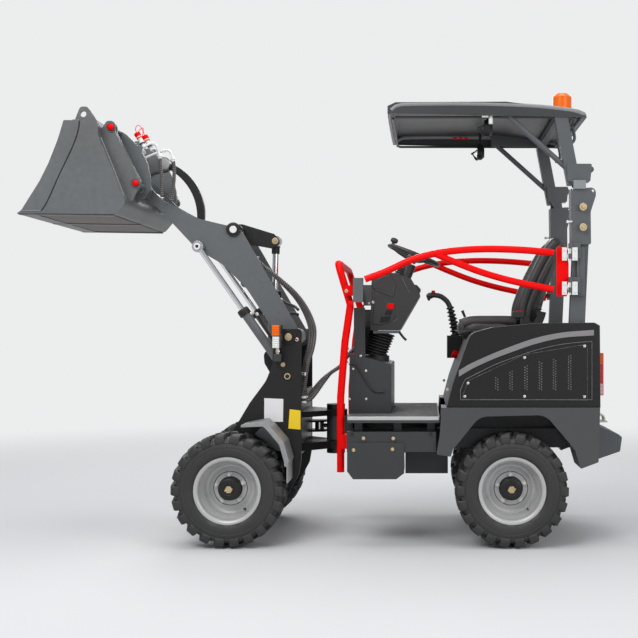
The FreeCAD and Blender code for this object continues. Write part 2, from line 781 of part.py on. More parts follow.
def tower_hoses():
    """The same three hoses below the hub, down behind the tower's beam and back to the hinge."""
    beam_side = beam_back_x - hose_gap - hose_radius
    route = [
        (116, 138, 1120), (116, 150, 1050), (beam_side - 10, 205, 930), (beam_side, 216, 800),
        (beam_side, 214, 735), (78, 165, 782),
    ]
    return group(hose_run(route, hose_pitch * i, 26.0) for i in (-1, 0, 1))


def dash_hoses():
    """Two of the hoses behind the hinge, from the panel under the dash."""
    start = panel_x + seat_gap
    route = [(start, 190, 1010), (start + 16, 190, 1010), (start + 46, 188, 962), (-62, 186, 930)]
    return group(hose_run(route, hose_pitch * i, 14.0) for i in (-1, 0))


def coupler_hoses():
    """Two pipes from the coupling block back and down to the boom's tip, with the block itself."""
    first = [(1000, 262, 2046), (948, 262, 2074), (912, 262, 2064), (900, 262, 1960), (892, 262, 1802)]
    second = [(1000, 238, 2008), (904, 238, 2052), (856, 238, 2050), (838, 238, 1960), (848, 238, 1790)]
    inner = hose_radius + hose_pitch
    carrier = block((996, 1016), (coupler_inner_y - 2 * inner - 4, coupler_inner_y - seat_gap), (1990, 2068))
    return group([fuse([carrier, hose_run(first, 0.0, 30.0), hose_run(second, 0.0, 30.0)])])


# ---- rear frame ----

def rear_frame():
    """Welded rails and sills, the knuckle that the front arms straddle, and the pump housing."""
    rails = [block((frame_front_x, frame_rear_x), band(rail_inner_y, rail_width, s),
                   (rail_bottom, rail_top)) for s in sides]
    sill_end = frame_front_x - 450
    sills = [block((frame_front_x, sill_end), band(sill_inner_y, sill_width, s),
                   (rail_bottom, rail_top)) for s in sides]
    reach = sill_inner_y + sill_width
    bearers = [block((x, x - 40), (-reach + 60, reach - 60), (rail_top, floor_bottom))
               for x in (-130, -330, -500)]
    ties = [block((x, x - 40), (-reach + 20, reach - 20), (rail_bottom + 20, rail_top))
            for x in (-140, -500)]
    pump = block((-385, -612), (-180, 180), (338, rail_bottom + 20))
    front = block((frame_front_x, frame_front_x - 16), (-rail_inner_y - rail_width, rail_inner_y + rail_width),
                  (rail_bottom - 30, floor_bottom))
    window = block((frame_front_x + 1, frame_front_x - 60), (-rail_inner_y - 8, -70),
                   (steer_level - 42, steer_level + 42))
    slot = block((-100, -300), (-rail_inner_y + 0, -70), (steer_level - 42, steer_level + 42))
    tail = block((frame_rear_x, frame_rear_x + 16), (-rail_inner_y - rail_width, rail_inner_y + rail_width),
                 (rail_bottom - 60, rail_top + 60))
    low, high = lower_arm_top + knuckle_gap, upper_arm_bottom - knuckle_gap
    knuckle = fuse([
        Part.makeCylinder(knuckle_radius, high - low, V(0, 0, low), Z),
        block((0, frame_front_x), (-knuckle_radius, knuckle_radius), (low, high)),
    ])
    spine = block((frame_front_x - 10, frame_front_x - 420), (-50, -38), (rail_bottom + 20, rail_top))
    spine_left = block((frame_front_x - 10, frame_front_x - 420), (38, 50), (rail_bottom + 20, rail_top))
    steer_foot = block((steer_rear_pin[0] - 46, steer_rear_pin[0] - 31), (-rail_inner_y, -50),
                       (rail_bottom + 20, rail_top))
    ears = []
    for low_z in (steer_level - steer_eye_height / 2 - 13, steer_level + steer_eye_height / 2 + 1):
        ears.append(block((steer_rear_pin[0] - 46, steer_rear_pin[0] + 15),
                          (steer_rear_pin[1] - 30, steer_rear_pin[1] + 30), (low_z, low_z + 12)))
    steer_pin = Part.makeCylinder(steer_rod_radius, steer_eye_height + 26,
                                  V(steer_rear_pin[0], steer_rear_pin[1], steer_level - steer_eye_height / 2 - 13), Z)
    saddles = []
    for s in sides:
        saddle = [
            (rear_axle_x - 120, rail_bottom + 6), (rear_axle_x + 120, rail_bottom + 6),
            (rear_axle_x + 60, axle_z - 40, 20), (rear_axle_x - 60, axle_z - 40, 20),
        ]
        saddles.append(plate(saddle, band(rail_inner_y + 8, 30, s)))
    axle_hole = disc_xz((rear_axle_x, axle_z), (-400, 400), axle_tube_radius)
    bore = Part.makeCylinder(pivot_pin_radius + running_clearance, 400, V(0, 0, 400), Z)
    body = cut(fuse(rails + sills + bearers + ties + [front, tail, pump, knuckle, spine, spine_left] + saddles),
               [window, slot, bore, axle_hole])
    return fuse([body, steer_foot, steer_pin] + ears)


def articulation_pin():
    """The hinge pin between the frames, with its two dust caps. It turns with the front arms."""
    low, high = lower_arm_top - arm_thickness - 10, upper_arm_bottom + arm_thickness
    pin = Part.makeCylinder(pivot_pin_radius, high - low, V(0, 0, low), Z)
    caps = [
        Part.makeCylinder(pivot_cap_radius, pivot_cap_height, V(0, 0, high), Z),
        Part.makeCylinder(pivot_cap_radius, pivot_cap_height, V(0, 0, low - pivot_cap_height), Z),
    ]
    return fuse([pin] + caps)


def steer_direction():
    a, b = steer_rear_pin, steer_front_pin
    return V(b[0] - a[0], b[1] - a[1], 0).normalize()


def steer_barrel():
    foot, along = V(steer_rear_pin[0], steer_rear_pin[1], steer_level), steer_direction()
    eye = Part.makeCylinder(steer_eye_radius, steer_eye_height, foot - Z * steer_eye_height / 2, Z)
    tube = rod(foot + along * steer_eye_radius * 0.8, foot + along * steer_barrel_length, steer_barrel_radius)
    hollow = rod(foot + along * (steer_eye_radius + 14), foot + along * (steer_barrel_length + 1),
                 steer_rod_radius + bore_gap)
    hole = Part.makeCylinder(steer_rod_radius + running_clearance, steer_eye_height + 2,
                             foot - Z * (steer_eye_height / 2 + 1), Z)
    return cut(fuse([eye, tube]), [hollow, hole])


def steer_rod():
    foot, along = V(steer_rear_pin[0], steer_rear_pin[1], steer_level), steer_direction()
    end = V(steer_front_pin[0], steer_front_pin[1], steer_level)
    shaft = rod(foot + along * (steer_barrel_length - 110), end, steer_rod_radius)
    eye = Part.makeCylinder(steer_eye_radius, steer_eye_height, end - Z * steer_eye_height / 2, Z)
    return fuse([shaft, eye])


def engine():
    """The diesel engine and pump as one plain block on the rails."""
    return block((engine_rear_x, engine_rear_x + engine_length), (-rail_inner_y - 14, rail_inner_y + 14),
                 (rail_top, rail_top + engine_height))


hood_side = [
    (-598, fender_top, 0), (*hood_slope[0], 30), (*hood_slope[1], 60), (-836, 1118, 120), (-1061, 1138, 300),
    (-1343, hood_top, 12), (-1371, 1126, 10), (-1374, fender_top, 0),
]


def engine_hood():
    """A folded sheet hood, open below, with a well for the seat and holes for the posts."""
    shell = plate(hood_side, (-hood_half_width, hood_half_width))
    t = hood_sheet
    inner = [
        (-598 - t, fender_top - 1), (-631 - t, 836 - 1, 30), (-720 - t, 1087 - t, 54),
        (-836 - 1, 1118 - t, 120), (-1061, 1138 - t, 300), (-1343 + 4, hood_top - t, 10),
        (-1371 + t, 1126 - 4, 8), (-1374 + t, fender_top - 1),
    ]
    hollow = plate(inner, (-hood_half_width + t, hood_half_width - t))
    shell = cut(shell, [hollow])
    well = block((-640, -1010), (-seat_well_half, seat_well_half), (seat_well_floor, hood_top + 50))
    cup = block((-646, -1010 - t), (-seat_well_half - t, seat_well_half + t), (seat_well_floor - t, 1120))
    cup = cup.common(plate(hood_side, (-hood_half_width, hood_half_width)))
    slots = []
    for s in sides:
        slots.append(block((-1212, -1318), band(post_y - post_width / 2 - 8, post_width + 16, s),
                           (hood_top - 60, hood_top + 20)))
    return cut(fuse([shell, cup] + hood_panels()), [well] + slots)


def hood_panels():
    """Bolted service panels on the hood's flanks."""
    outline = [
        (-673, 756, 8), (-708, 849, 20), (-990, 980, 400), (-1308, 1032, 8), (-1308, 749, 8),
    ]
    return [plate(outline, band(hood_half_width - 1, hood_panel_sheet + 1, s)) for s in sides]


def rear_fenders():
    """Formed mudguards between the hood and the rear tyres: skin, top sheet and arch liner."""
    outline = [
        (-573, fender_top), (-565, 584, 20), (-548, 478, 8), (-619, 466, 6), (-631, 503, 20),
        (-764, 668, 90), (-1096, 676, 90), (-1243, 503, 40), (-1272, 405, 6), (-1362, 439, 6),
        (-1370, fender_top),
    ]
    t = fender_sheet
    core = [
        (-573 - t, fender_top - t), (-565 - t, 584, 16), (-548 - 8, 478 + t, 4),
        (-619 + 8, 466 + t + 3, 4), (-631 + 10, 503 + 4, 16), (-764 + 6, 668 + 8, 84),
        (-1096 - 6, 676 + 8, 84), (-1243 - 9, 503 + 6, 36), (-1272 - 6, 405 + 12, 4),
        (-1362 + t, 439 + 4, 4), (-1370 + t, fender_top - t),
    ]
    width = fender_outer_y - fender_inner_y
    made = []
    for s in sides:
        solid = plate(outline, band(fender_inner_y, width, s))
        made.append(solid.cut(plate(core, band(fender_inner_y - 1, width - t + 1, s))))
    return group(made)


def footplate():
    """The operator's floor, with its front corners rounded."""
    y = floor_half_width
    corners = [(frame_front_x, -y, 14), (frame_front_x, y, 14), (floor_rear_x + 34, y), (floor_rear_x + 34, -y)]
    return flat_plate(corners, (floor_bottom, floor_bottom + floor_thickness))


def entry_steps():
    """A hanging step each side: bolted apron, tread and end gussets."""
    outer = sill_inner_y + sill_width
    x0, x1 = frame_front_x - 2, frame_front_x - 2 - step_width
    low = rail_bottom - step_drop
    made = []
    for s in sides:
        apron = [(x0, 534), (x1, 534), (x1, low + 30), (x1 + 40, low), (x0 - 30, low), (x0, low + 40)]
        face = plate(apron, band(outer, step_plate, s))
        tread = block((x0, x1), band(outer - step_depth, step_depth, s), (low + 40, low + 40 + step_plate))
        gussets = []
        for x in (x0, x1 + step_plate):
            corners = [(s * (outer - step_depth), low + 44), (s * outer, low + 44), (s * outer, rail_bottom),
                       (s * (outer - 40), rail_bottom)]
            gussets.append(cross_plate(corners, (x, x - step_plate)))
        made.append(fuse([face, tread] + gussets))
    return group(made)


def counterweight():
    """Cast tail weight with a towing jaw."""
    front = frame_rear_x
    outline = [
        (front, 412), (weight_tail_x + 10, 462, 12), (weight_tail_x, 537, 12), (weight_tail_x + 18, 552, 10),
        (front - 22, 600, 8), (front, 600),
    ]
    body = plate(outline, (-weight_half_width, weight_half_width))
    jaw = block((weight_tail_x - 1, weight_tail_x + 70), (-60, 60), (486, 520))
    pin_hole = Part.makeCylinder(13, 300, V(weight_tail_x + 36, 0, 380), Z)
    return cut(body, [jaw, pin_hole])





# ---- operator station ----

def front_guard():
    """The red hoop in front of the operator, with brackets to the sills and latch arms."""
    y = guard_half_width
    leg = [(-58, 376), (-58, 760), (-80, 1040), (-108, 1232), (-44, guard_top)]
    points = [V(x, y, z) for x, z in leg] + [V(x, -y, z) for x, z in reversed(leg)]
    hoop = bent_bar(points, 60, guard_tube_radius)
    tabs = []
    for s in sides:
        tabs.append(block((frame_front_x, -60), band(y - 14, sill_inner_y + 36 - y, s), (500, 572)))
        tabs.append(block((latch_front_x, -84), (s * (y - 6), s * (side_bar_y - 16)), (1278, 1330)))
    return fuse([hoop] + tabs)


def latch_boxes():
    """Catches for the side bars, on the hoop's arms."""
    made = []
    for s in sides:
        box = block((latch_front_x, latch_front_x - 50), band(side_bar_y - 44, 44, s), (1245, 1367))
        slot = block((latch_front_x - 24, latch_front_x - 60), band(side_bar_y - 28, 14, s), (1300, 1345))
        made.append(cut(box, [slot]))
    return group(made)


def console():
    """Pedal box with a sloping top and a collar for the boot, and the panel that carries the dash."""
    t, low = console_wall, floor_bottom + floor_thickness
    front, rear = frame_front_x - seat_gap, -314
    y = console_half_width
    box = plate([(front, low), (front, 980, 8), (rear, 922, 8), (rear, low)], (-y, y))
    void = plate([(front - t, low - 1), (front - t, 980 - t - 2, 4), (rear + t, 922 - t - 1, 4),
                  (rear + t, low - 1)], (-y + t, y - t))
    collar = Part.makeCylinder(bellows_radius + 6, 34, V(bellows_x, 0, bellows_base - 34), Z)
    panel = block((panel_x, panel_x - t), (-y, y), (955, 1219))
    flanges = [block((panel_x, panel_x - 59), band(y - t, t, s), (955, 1219)) for s in sides]
    return fuse([cut(box, [void]), collar, panel] + flanges)


def dash():
    """Instrument head on its pedestal, with the steering column's boot on top."""
    head = [
        (-196, dash_bottom), (-204, 1395, 12), (-262, 1424, 20), (-414, 1380, 20), (-466, 1290, 16),
        (-356, dash_bottom, 10),
    ]
    upper = plate(head, (-dash_half_width, dash_half_width))
    bridge = block((panel_x - console_wall, -210), (-dash_half_width + 30, dash_half_width - 30), (1120, 1200))
    top = V(wheel_centre[0], 0, wheel_centre[1]) - wheel_axis() * (hub_below + 0.5)
    return fuse([upper, bridge, rod(top - wheel_axis() * 100, top, column_radius)])


def bellows():
    """Ribbed boot round the pedestal, between the console and the dash."""
    height = dash_bottom - bellows_base - 2 * seat_gap
    pitch = height / bellows_folds
    corners = [(0, 0), (0, bellows_radius - 10)]
    for i in range(bellows_folds):
        corners += [((i + 0.5) * pitch, bellows_radius), ((i + 1) * pitch, bellows_radius - 10)]
    corners += [(height, 0)]
    return turned(corners, V(bellows_x, 0, bellows_base + seat_gap), Z)


def wheel_axis():
    """The way the steering wheel faces: up and back to the operator."""
    lean = math.radians(wheel_tilt)
    return V(-math.sin(lean), 0, math.cos(lean))


def steering_wheel():
    """Ring, three spokes, hub and spinner knob."""
    axis = wheel_axis()
    centre = V(wheel_centre[0], 0, wheel_centre[1])
    turns = [2 * math.pi * i / 12 for i in range(12)]
    section = [(wheel_ring_tube * math.sin(a), wheel_ring_radius + wheel_ring_tube * math.cos(a)) for a in turns]
    ring = turned(section, centre, axis)
    hub = rod(centre - axis * hub_below, centre + axis * 8, 34)
    forward = V(axis.z, 0, -axis.x)
    spokes = []
    for turn in (90, 210, 330):
        a = math.radians(turn)
        direction = forward * math.cos(a) + Y * math.sin(a)
        spokes.append(rod(centre - axis * 8, centre + direction * wheel_ring_radius, 8))
    spot = centre + forward * wheel_ring_radius * 0.72 + Y * wheel_ring_radius * 0.69
    knob = turned([(0, 0), (0, 7), (36, 7), (40, 14), (50, 21), (62, 21), (72, 14), (76, 0)], spot, axis)
    return fuse([ring, hub, knob] + spokes)


def seat_cushion():
    y = seat_half_width
    low = seat_well_floor + seat_gap
    outline = [(-668, low, 10), (-655, low + 70, 30), (-690, low + cushion_height + 8, 40),
               (-960, low + cushion_height - 16, 30), (-985, low, 10)]
    return plate(outline, (-y, y))


def seat_back():
    y = seat_half_width - 15
    outline = [
        (-986, 1110), (-1000, 1240, 60), (-1085, 1420, 80), (-1196, 1600, 40), (-1262, 1590, 30),
        (-1190, 1400, 120), (-1120, 1240, 60), (-1105, 1110),
    ]
    hood = plate(hood_side, (-hood_half_width, hood_half_width))
    return plate(outline, (-y, y)).cut(hood)


def side_console():
    """Right-hand box on the hood's slope that carries the loader lever."""
    hood = plate(hood_side, (-hood_half_width, hood_half_width))
    front = lever_x() + lever_boot_radius + 1
    box = block((front, front - 102), (-seat_well_half - 110, -seat_well_half - 20), (lever_base - 129, lever_base))
    return box.cut(hood).cut(hood.translated(V(seat_gap, 0, 0)))


def lever_x():
    """The lever's place, just ahead of the hood's slope at the lever box's top."""
    low, high = hood_slope
    lean = (high[0] - low[0]) / (high[1] - low[1])
    return low[0] + lean * (lever_base - low[1]) + lever_boot_radius + 3


def joystick():
    foot = V(lever_x(), -seat_well_half - 65, lever_base)
    boot = turned([(0, 0), (0, lever_boot_radius), (16, lever_boot_radius), (34, 36), (52, 44), (70, 28),
                   (96, 34), (118, 20), (150, 24), (160, 0)], foot + Z * seat_gap, Z)
    bends = [V(0, 0, 131), V(13, 0, 193), V(80, 0, 249), V(150, 0, 231)]
    return fuse([boot, bent_bar([foot + b for b in bends], 34, 13)])


def side_guard(s):
    """A swinging red side bar: two tubes on a hinge plate."""
    y = s * side_bar_y
    top = [V(-194, y, 1348), V(-440, y, 1474), V(-700, y, 1508), V(-900, y, 1500), V(-1166, y, 1490)]
    low = [V(-548, y, 1478), V(-700, y, 1424), V(-960, y, 1342), V(-1166, y, 1300)]
    upper = bent_bar(top, 260, side_bar_radius)
    lower = bent_bar(low, 260, side_bar_radius)
    hinge_plate = block((-1150, -1200), (y - s * 5, y + s * 5), (1274, 1525))
    eyes = []
    for z in side_hinge_levels:
        eyes.append(Part.makeCylinder(hinge_barrel, 26, V(side_hinge_x, s * side_hinge_y, z), Z))
        eyes.append(block((side_hinge_x, -1180), (s * (side_hinge_y - 5), s * (side_hinge_y + 5)), (z, z + 26)))
        eyes.append(block((-1180, -1192), (s * (side_hinge_y + 5), y), (z, z + 26)))
    bore = [Part.makeCylinder(hinge_pin + running_clearance, 400, V(side_hinge_x, s * side_hinge_y, 1200), Z)]
    return cut(fuse([upper, lower, hinge_plate] + eyes), bore)


def guard_hinges(s):
    """Fixed hinge leaves and pins for one side bar, on the post's outer face."""
    made = []
    face = post_y + post_width / 2
    outer = side_hinge_y + 2
    for z in side_hinge_levels:
        made.append(Part.makeCylinder(hinge_pin, 78, V(side_hinge_x, s * side_hinge_y, z - 26), Z))
        for h in (z - 25.5, z + 26.5):
            made.append(Part.makeCylinder(hinge_barrel, 25, V(side_hinge_x, s * side_hinge_y, h), Z))
            made.append(block((side_hinge_x - 40, side_hinge_x), (s * (face - 1), s * outer), (h, h + 25)))
        made.append(block((side_hinge_x - 50, side_hinge_x - 38), (s * (face - 1), s * outer),
                          (z - 25.5, z + 51.5)))
    return made


# ---- folding roll-over frame and roof ----

def slanted_post(low, high, depth, y):
    """A box post that leans in side view, level at both ends."""
    d = depth / 2
    corners = [(low[0] - d, low[1]), (low[0] + d, low[1]), (high[0] + d, high[1]), (high[0] - d, high[1])]
    return plate(corners, y)


def post_x(z):
    """The lower posts' centre line."""
    lean = (fold_pin[0] + 10 - post_foot[0]) / (fold_pin[1] - post_foot[1])
    return post_foot[0] + lean * (z - post_foot[1])


def rops_posts():
    """Lower posts on a hidden cross beam, with forked heads and the side bars' hinges."""
    beam_low, beam_high = fender_top + 8, fender_top + 62
    x = post_foot[0]
    half = post_width / 2
    parts = [block((x - 30, x + 30), (-post_y - half, post_y + half), (beam_low, beam_high))]
    cheek_y = half + cheek_gap + tongue_plate + cheek_gap
    for s in sides:
        parts.append(slanted_post((post_x(beam_low), beam_low), (post_x(post_head_z), post_head_z), post_depth,
                                  band(post_y - half, post_width, s)))
        parts.append(block((x - 30, x + 30), band(rail_inner_y + 20, rail_width - 20, s), (rail_top, beam_low)))
        cheek = [
            (-1240, 1535), (-1233, 1816, 10), (-1352, 1824, 26), (-1352, 1780, 26), (-1326, 1700, 60),
            (-1328, 1535, 10),
        ]
        for lean in sides:
            near = s * post_y + lean * cheek_y
            parts.append(plate(cheek, (near, near + lean * cheek_plate)))
        reach = cheek_y + cheek_plate
        wide = (s * post_y - reach, s * post_y + reach)
        parts.append(plate([(-1240, 1535), (-1233, 1816), (-1226, 1816), (-1230, 1535)], wide))
        collar = block((-1231, -1318), wide, (1535, post_head_z - 5))
        for lean in sides:
            slot = (s * post_y + lean * (half + 1), s * post_y + lean * (cheek_y - 0.5))
            collar = collar.cut(block((-1268, -1330), slot, (1530, post_head_z)))
        parts.append(collar)
        parts.append(disc_xz(fold_pin, (wide[0] - 10, wide[1] + 10), fold_pin_radius))
        parts += guard_hinges(s)
    return cut(fuse(parts), [disc_xz(ear_hole, (-600, 600), ear_hole_radius)])


def rops_frame():
    """The folding half: tongues, posts, diagonal struts and the roof's side rails."""
    parts = []
    half = post_width / 2
    near = half + cheek_gap
    spread = near + tongue_plate
    for s in sides:
        centre = s * post_y
        parts.append(slanted_post(upper_foot, upper_head, upper_depth, (centre - half, centre + half)))
        tongue = [
            (fold_pin[0] - 30, fold_pin[1] - 20, 22), (fold_pin[0] + 30, fold_pin[1] - 24, 22),
            (-1252, 1820, 60), (upper_foot[0] + 28, 1866, 20), (upper_foot[0] + 28, upper_foot[1] + 90),
            (upper_foot[0] - 40, upper_foot[1] + 90),
        ]
        for lean in sides:
            parts.append(plate(tongue, (centre + lean * near, centre + lean * (near + tongue_plate))))
        flange = [(-1212, 1854), (-1206, 1944, 8), (-1334, 1944, 8), (-1326, 1854, 8)]
        parts.append(plate(flange, (centre - spread, centre + spread)))
        parts.append(disc_xz((-1332, 1918), (centre - 14, centre + 14), 15))
        parts.append(rod(V(-1214, centre, 1922), V(-897, centre, 2206), strut_radius))
        rail = block((-880, -1205), (centre - 18, centre + 18), (2186, 2300))
        parts.append(rail.common(roof_inside()))
    parts.append(block((-1190, -1150), (-post_y, post_y), (2164, 2200)))
    bore = disc_xz(fold_pin, (-600, 600), fold_pin_radius + running_clearance)
    return cut(fuse(parts), [bore])


def roof_solid():
    """The roof filled up to its outer skin."""
    side = [
        (roof_front_x, roof_front_z - roof_rim), (roof_front_x, roof_front_z),
        (roof_front_x - 40, roof_front_z + 19), (roof_crown_x, roof_crown_z),
        (roof_rear_x + 30, roof_rear_z + 8), (roof_rear_x, roof_rear_z - roof_rim + 12),
    ]
    return plate(side, (-roof_half_width, roof_half_width))


def roof_inside():
    """The open space under the roof's skin."""
    t = roof_sheet
    side = [
        (roof_front_x - t, roof_front_z - roof_rim - 60), (roof_front_x - t, roof_front_z - t),
        (roof_front_x - 42, roof_front_z + 19 - t), (roof_crown_x, roof_crown_z - t),
        (roof_rear_x + 32, roof_rear_z + 8 - t), (roof_rear_x + t, roof_rear_z - roof_rim + 8),
        (roof_rear_x + t, roof_rear_z - roof_rim - 60),
    ]
    return plate(side, (-roof_half_width + t, roof_half_width - t))


def canopy_roof():
    """A thin roof with a rolled rim, open underneath."""
    return roof_solid().cut(roof_inside())


def beacon():
    base = V(beacon_x, 0, roof_rear_z)
    height = beacon_top - roof_rear_z
    foot = 28.0
    lamp = turned([(0, 0), (0, beacon_radius + 6), (foot, beacon_radius + 6), (foot + 6, beacon_radius),
                   (height - 20, beacon_radius), (height, beacon_radius - 22), (height, 0)], base, Z)
    return lamp.cut(roof_solid())


def work_lamps():
    """Lamp and bracket hung from the roof."""
    made = []
    for s in sides:
        y = s * (post_y - 68)
        head = turned([(-24, 0), (-24, 30), (-8, 44), (18, 44), (18, 0)], V(-812, y, 2140), X)
        stem = block((-806, -820), (y - 8, y + 8), (2176, 2300)).common(roof_inside())
        made.append(fuse([head, stem]))
    return group(made)


def tail_lamps():
    hood = plate(hood_side, (-hood_half_width, hood_half_width))
    inner = hood_half_width - 100
    return group(block((-1366, -1394), band(inner, 70, s), (772, 986)).cut(hood) for s in sides)


def wheel_centre_point(x, s):
    return V(x, s * half_track, axle_z)


os.makedirs("parts", exist_ok=True)
pieces = {
    "rear_frame": rear_frame(),
    "rear_axle": axle(rear_axle_x),
    "engine": engine(),
    "engine_hood": engine_hood(),
    "rear_fenders": rear_fenders(),
    "footplate": footplate(),
    "entry_steps": entry_steps(),
    "counterweight": counterweight(),
    "front_guard": front_guard(),
    "latch_boxes": latch_boxes(),
    "console": console(),
    "dash": dash(),
    "bellows": bellows(),
    "steering_wheel": steering_wheel(),
    "seat_cushion": seat_cushion(),
    "seat_back": seat_back(),
    "side_console": side_console(),
    "joystick": joystick(),
    "rops_posts": rops_posts(),
    "tail_lamps": tail_lamps(),
    "rops_frame": rops_frame(),
    "canopy_roof": canopy_roof(),
    "beacon": beacon(),
    "work_lamps": work_lamps(),
    "side_guard_left": side_guard(1),
    "side_guard_right": side_guard(-1),
    "front_tower": front_tower(),
    "articulation_pin": articulation_pin(),
    "front_axle": axle(front_axle_x),
    "front_mudguards": front_mudguards(),
    "front_lamps": front_lamps(),
    "steer_barrel": steer_barrel(),
    "steer_rod": steer_rod(),
    "boom": boom(),
    "boom_hoses": boom_hoses(),
    "tower_hoses": tower_hoses(),
    "dash_hoses": dash_hoses(),
    "coupler_hoses": coupler_hoses(),
    "lift_barrels": lift_barrels(),
    "lift_rods": lift_rods(),
    "crank_pin": crank_pin(),
    "bellcrank": bellcrank(),
    "tilt_barrel": tilt_barrel(),
    "tilt_rod": tilt_rod(),
    "tip_pin": tip_pin(),
    "link_pin": link_pin_piece(),
    "tilt_link": tilt_link(),
    "quick_coupler": quick_coupler(),
    "bucket": bucket(),
}
plain_tyre = tyre(V(0, 0, 0))
for name, x, s in (
    ("front_left", front_axle_x, 1), ("front_right", front_axle_x, -1),
    ("rear_left", rear_axle_x, 1), ("rear_right", rear_axle_x, -1),
):
    centre = wheel_centre_point(x, s)
    pieces["tyre_" + name] = plain_tyre.translated(centre)
    pieces["wheel_" + name] = wheel(centre, s)

for name, shape in pieces.items():
    shape.exportStep(f"parts/{name}.step")
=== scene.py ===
import math

import bmesh
import bpy
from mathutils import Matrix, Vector


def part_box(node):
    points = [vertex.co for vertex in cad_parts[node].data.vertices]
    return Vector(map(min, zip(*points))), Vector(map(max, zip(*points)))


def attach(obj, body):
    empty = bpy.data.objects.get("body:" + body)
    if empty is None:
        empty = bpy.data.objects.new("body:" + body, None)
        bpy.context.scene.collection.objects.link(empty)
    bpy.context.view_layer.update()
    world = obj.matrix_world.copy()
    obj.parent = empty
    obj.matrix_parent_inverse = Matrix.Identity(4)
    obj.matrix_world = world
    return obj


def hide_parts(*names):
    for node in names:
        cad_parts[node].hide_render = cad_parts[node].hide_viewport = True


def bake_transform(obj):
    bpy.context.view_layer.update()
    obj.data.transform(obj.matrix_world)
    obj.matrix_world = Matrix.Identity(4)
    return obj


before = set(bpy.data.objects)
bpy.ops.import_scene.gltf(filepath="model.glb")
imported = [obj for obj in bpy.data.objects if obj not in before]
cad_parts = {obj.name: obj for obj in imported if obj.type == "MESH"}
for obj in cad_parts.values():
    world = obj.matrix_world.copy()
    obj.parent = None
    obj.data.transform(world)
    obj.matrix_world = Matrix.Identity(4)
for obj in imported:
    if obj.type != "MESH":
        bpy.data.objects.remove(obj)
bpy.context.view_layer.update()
scene = bpy.context.scene
scene.view_settings.view_transform = "Standard"
LEFT, RIGHT = 1, -1
SIDES = ((LEFT, "left"), (RIGHT, "right"))
X, Y, Z = Vector((1, 0, 0)), Vector((0, 1, 0)), Vector((0, 0, 1))
BACKDROP = (0.84, 0.845, 0.85, 1)

# the loader's pins in the side view, (x, z) in mm
BOOM_HUB, BOOM_TIP = (226, 1066), (1000, 1838)
LIFT_BASE, LIFT_EYE = (231, 860), (710, 1543)
TILT_BASE = (345, 962)
CRANK_PIVOT, CRANK_REAR, CRANK_FRONT = (530, 1637), (330, 1589), (760, 1628)
LIFT_Y = 225


def mm(*values):
    """A point in metres from millimetres."""
    return Vector([v / 1000 for v in values])


def at_pin(pin, y):
    """A point in metres on one of the loader's pins, y in mm."""
    return mm(pin[0], y, pin[1])


def span(side, near, far):
    """Two values of y in mm on one side of the machine, the lower one first."""
    return sorted((side * near, side * far))


# ---------------------------------------------------------------- camera, light and floor

def make_camera():
    """A long level lens on the machine's left side, shifted to frame it."""
    data = bpy.data.cameras.new("camera")
    data.sensor_width = 36
    data.lens = 60.72
    data.shift_x = -0.1661
    data.shift_y = 0.0125
    camera = bpy.data.objects.new("camera", data)
    camera.location = (-0.4897, 5.92, 1.1185)
    camera.rotation_euler = (math.radians(90), 0, math.radians(180))
    scene.collection.objects.link(camera)
    scene.camera = camera


def area_light(name, place, aim, size, power):
    """A soft rectangular lamp aimed at a point, in metres."""
    data = bpy.data.lights.new(name, "AREA")
    data.shape = "RECTANGLE"
    data.size, data.size_y = size
    data.energy = power
    lamp = bpy.data.objects.new(name, data)
    lamp.location = place
    lamp.rotation_euler = (Vector(aim) - Vector(place)).to_track_quat("-Z", "Y").to_euler()
    scene.collection.objects.link(lamp)


def make_lights():
    """A pale studio world with four soft lamps."""
    world = bpy.data.worlds.new("studio")
    scene.world = world
    world.use_nodes = True
    tree = world.node_tree
    tree.nodes.clear()
    out = tree.nodes.new("ShaderNodeOutputWorld")
    soft = tree.nodes.new("ShaderNodeBackground")
    soft.inputs["Color"].default_value = (0.93, 0.95, 1, 1)
    soft.inputs["Strength"].default_value = 0.5
    seen = tree.nodes.new("ShaderNodeBackground")
    seen.inputs["Color"].default_value = BACKDROP
    seen.inputs["Strength"].default_value = 1.0
    path = tree.nodes.new("ShaderNodeLightPath")
    mix = tree.nodes.new("ShaderNodeMixShader")
    tree.links.new(path.outputs["Is Camera Ray"], mix.inputs[0])
    tree.links.new(soft.outputs[0], mix.inputs[1])
    tree.links.new(seen.outputs[0], mix.inputs[2])
    tree.links.new(mix.outputs[0], out.inputs["Surface"])
    area_light("key", (1.8, 4.2, 4.6), (-0.1, 0, 1.0), (3.0, 2.0), 150)
    area_light("fill", (-3.6, 3.6, 2.4), (-0.4, 0, 1.0), (2.4, 2.4), 60)
    area_light("top", (-0.2, 0.3, 5.2), (-0.2, 0, 0.8), (4.0, 3.0), 110)
    area_light("back", (0.5, -4.2, 3.6), (0, 0, 1.0), (3.0, 2.0), 80)


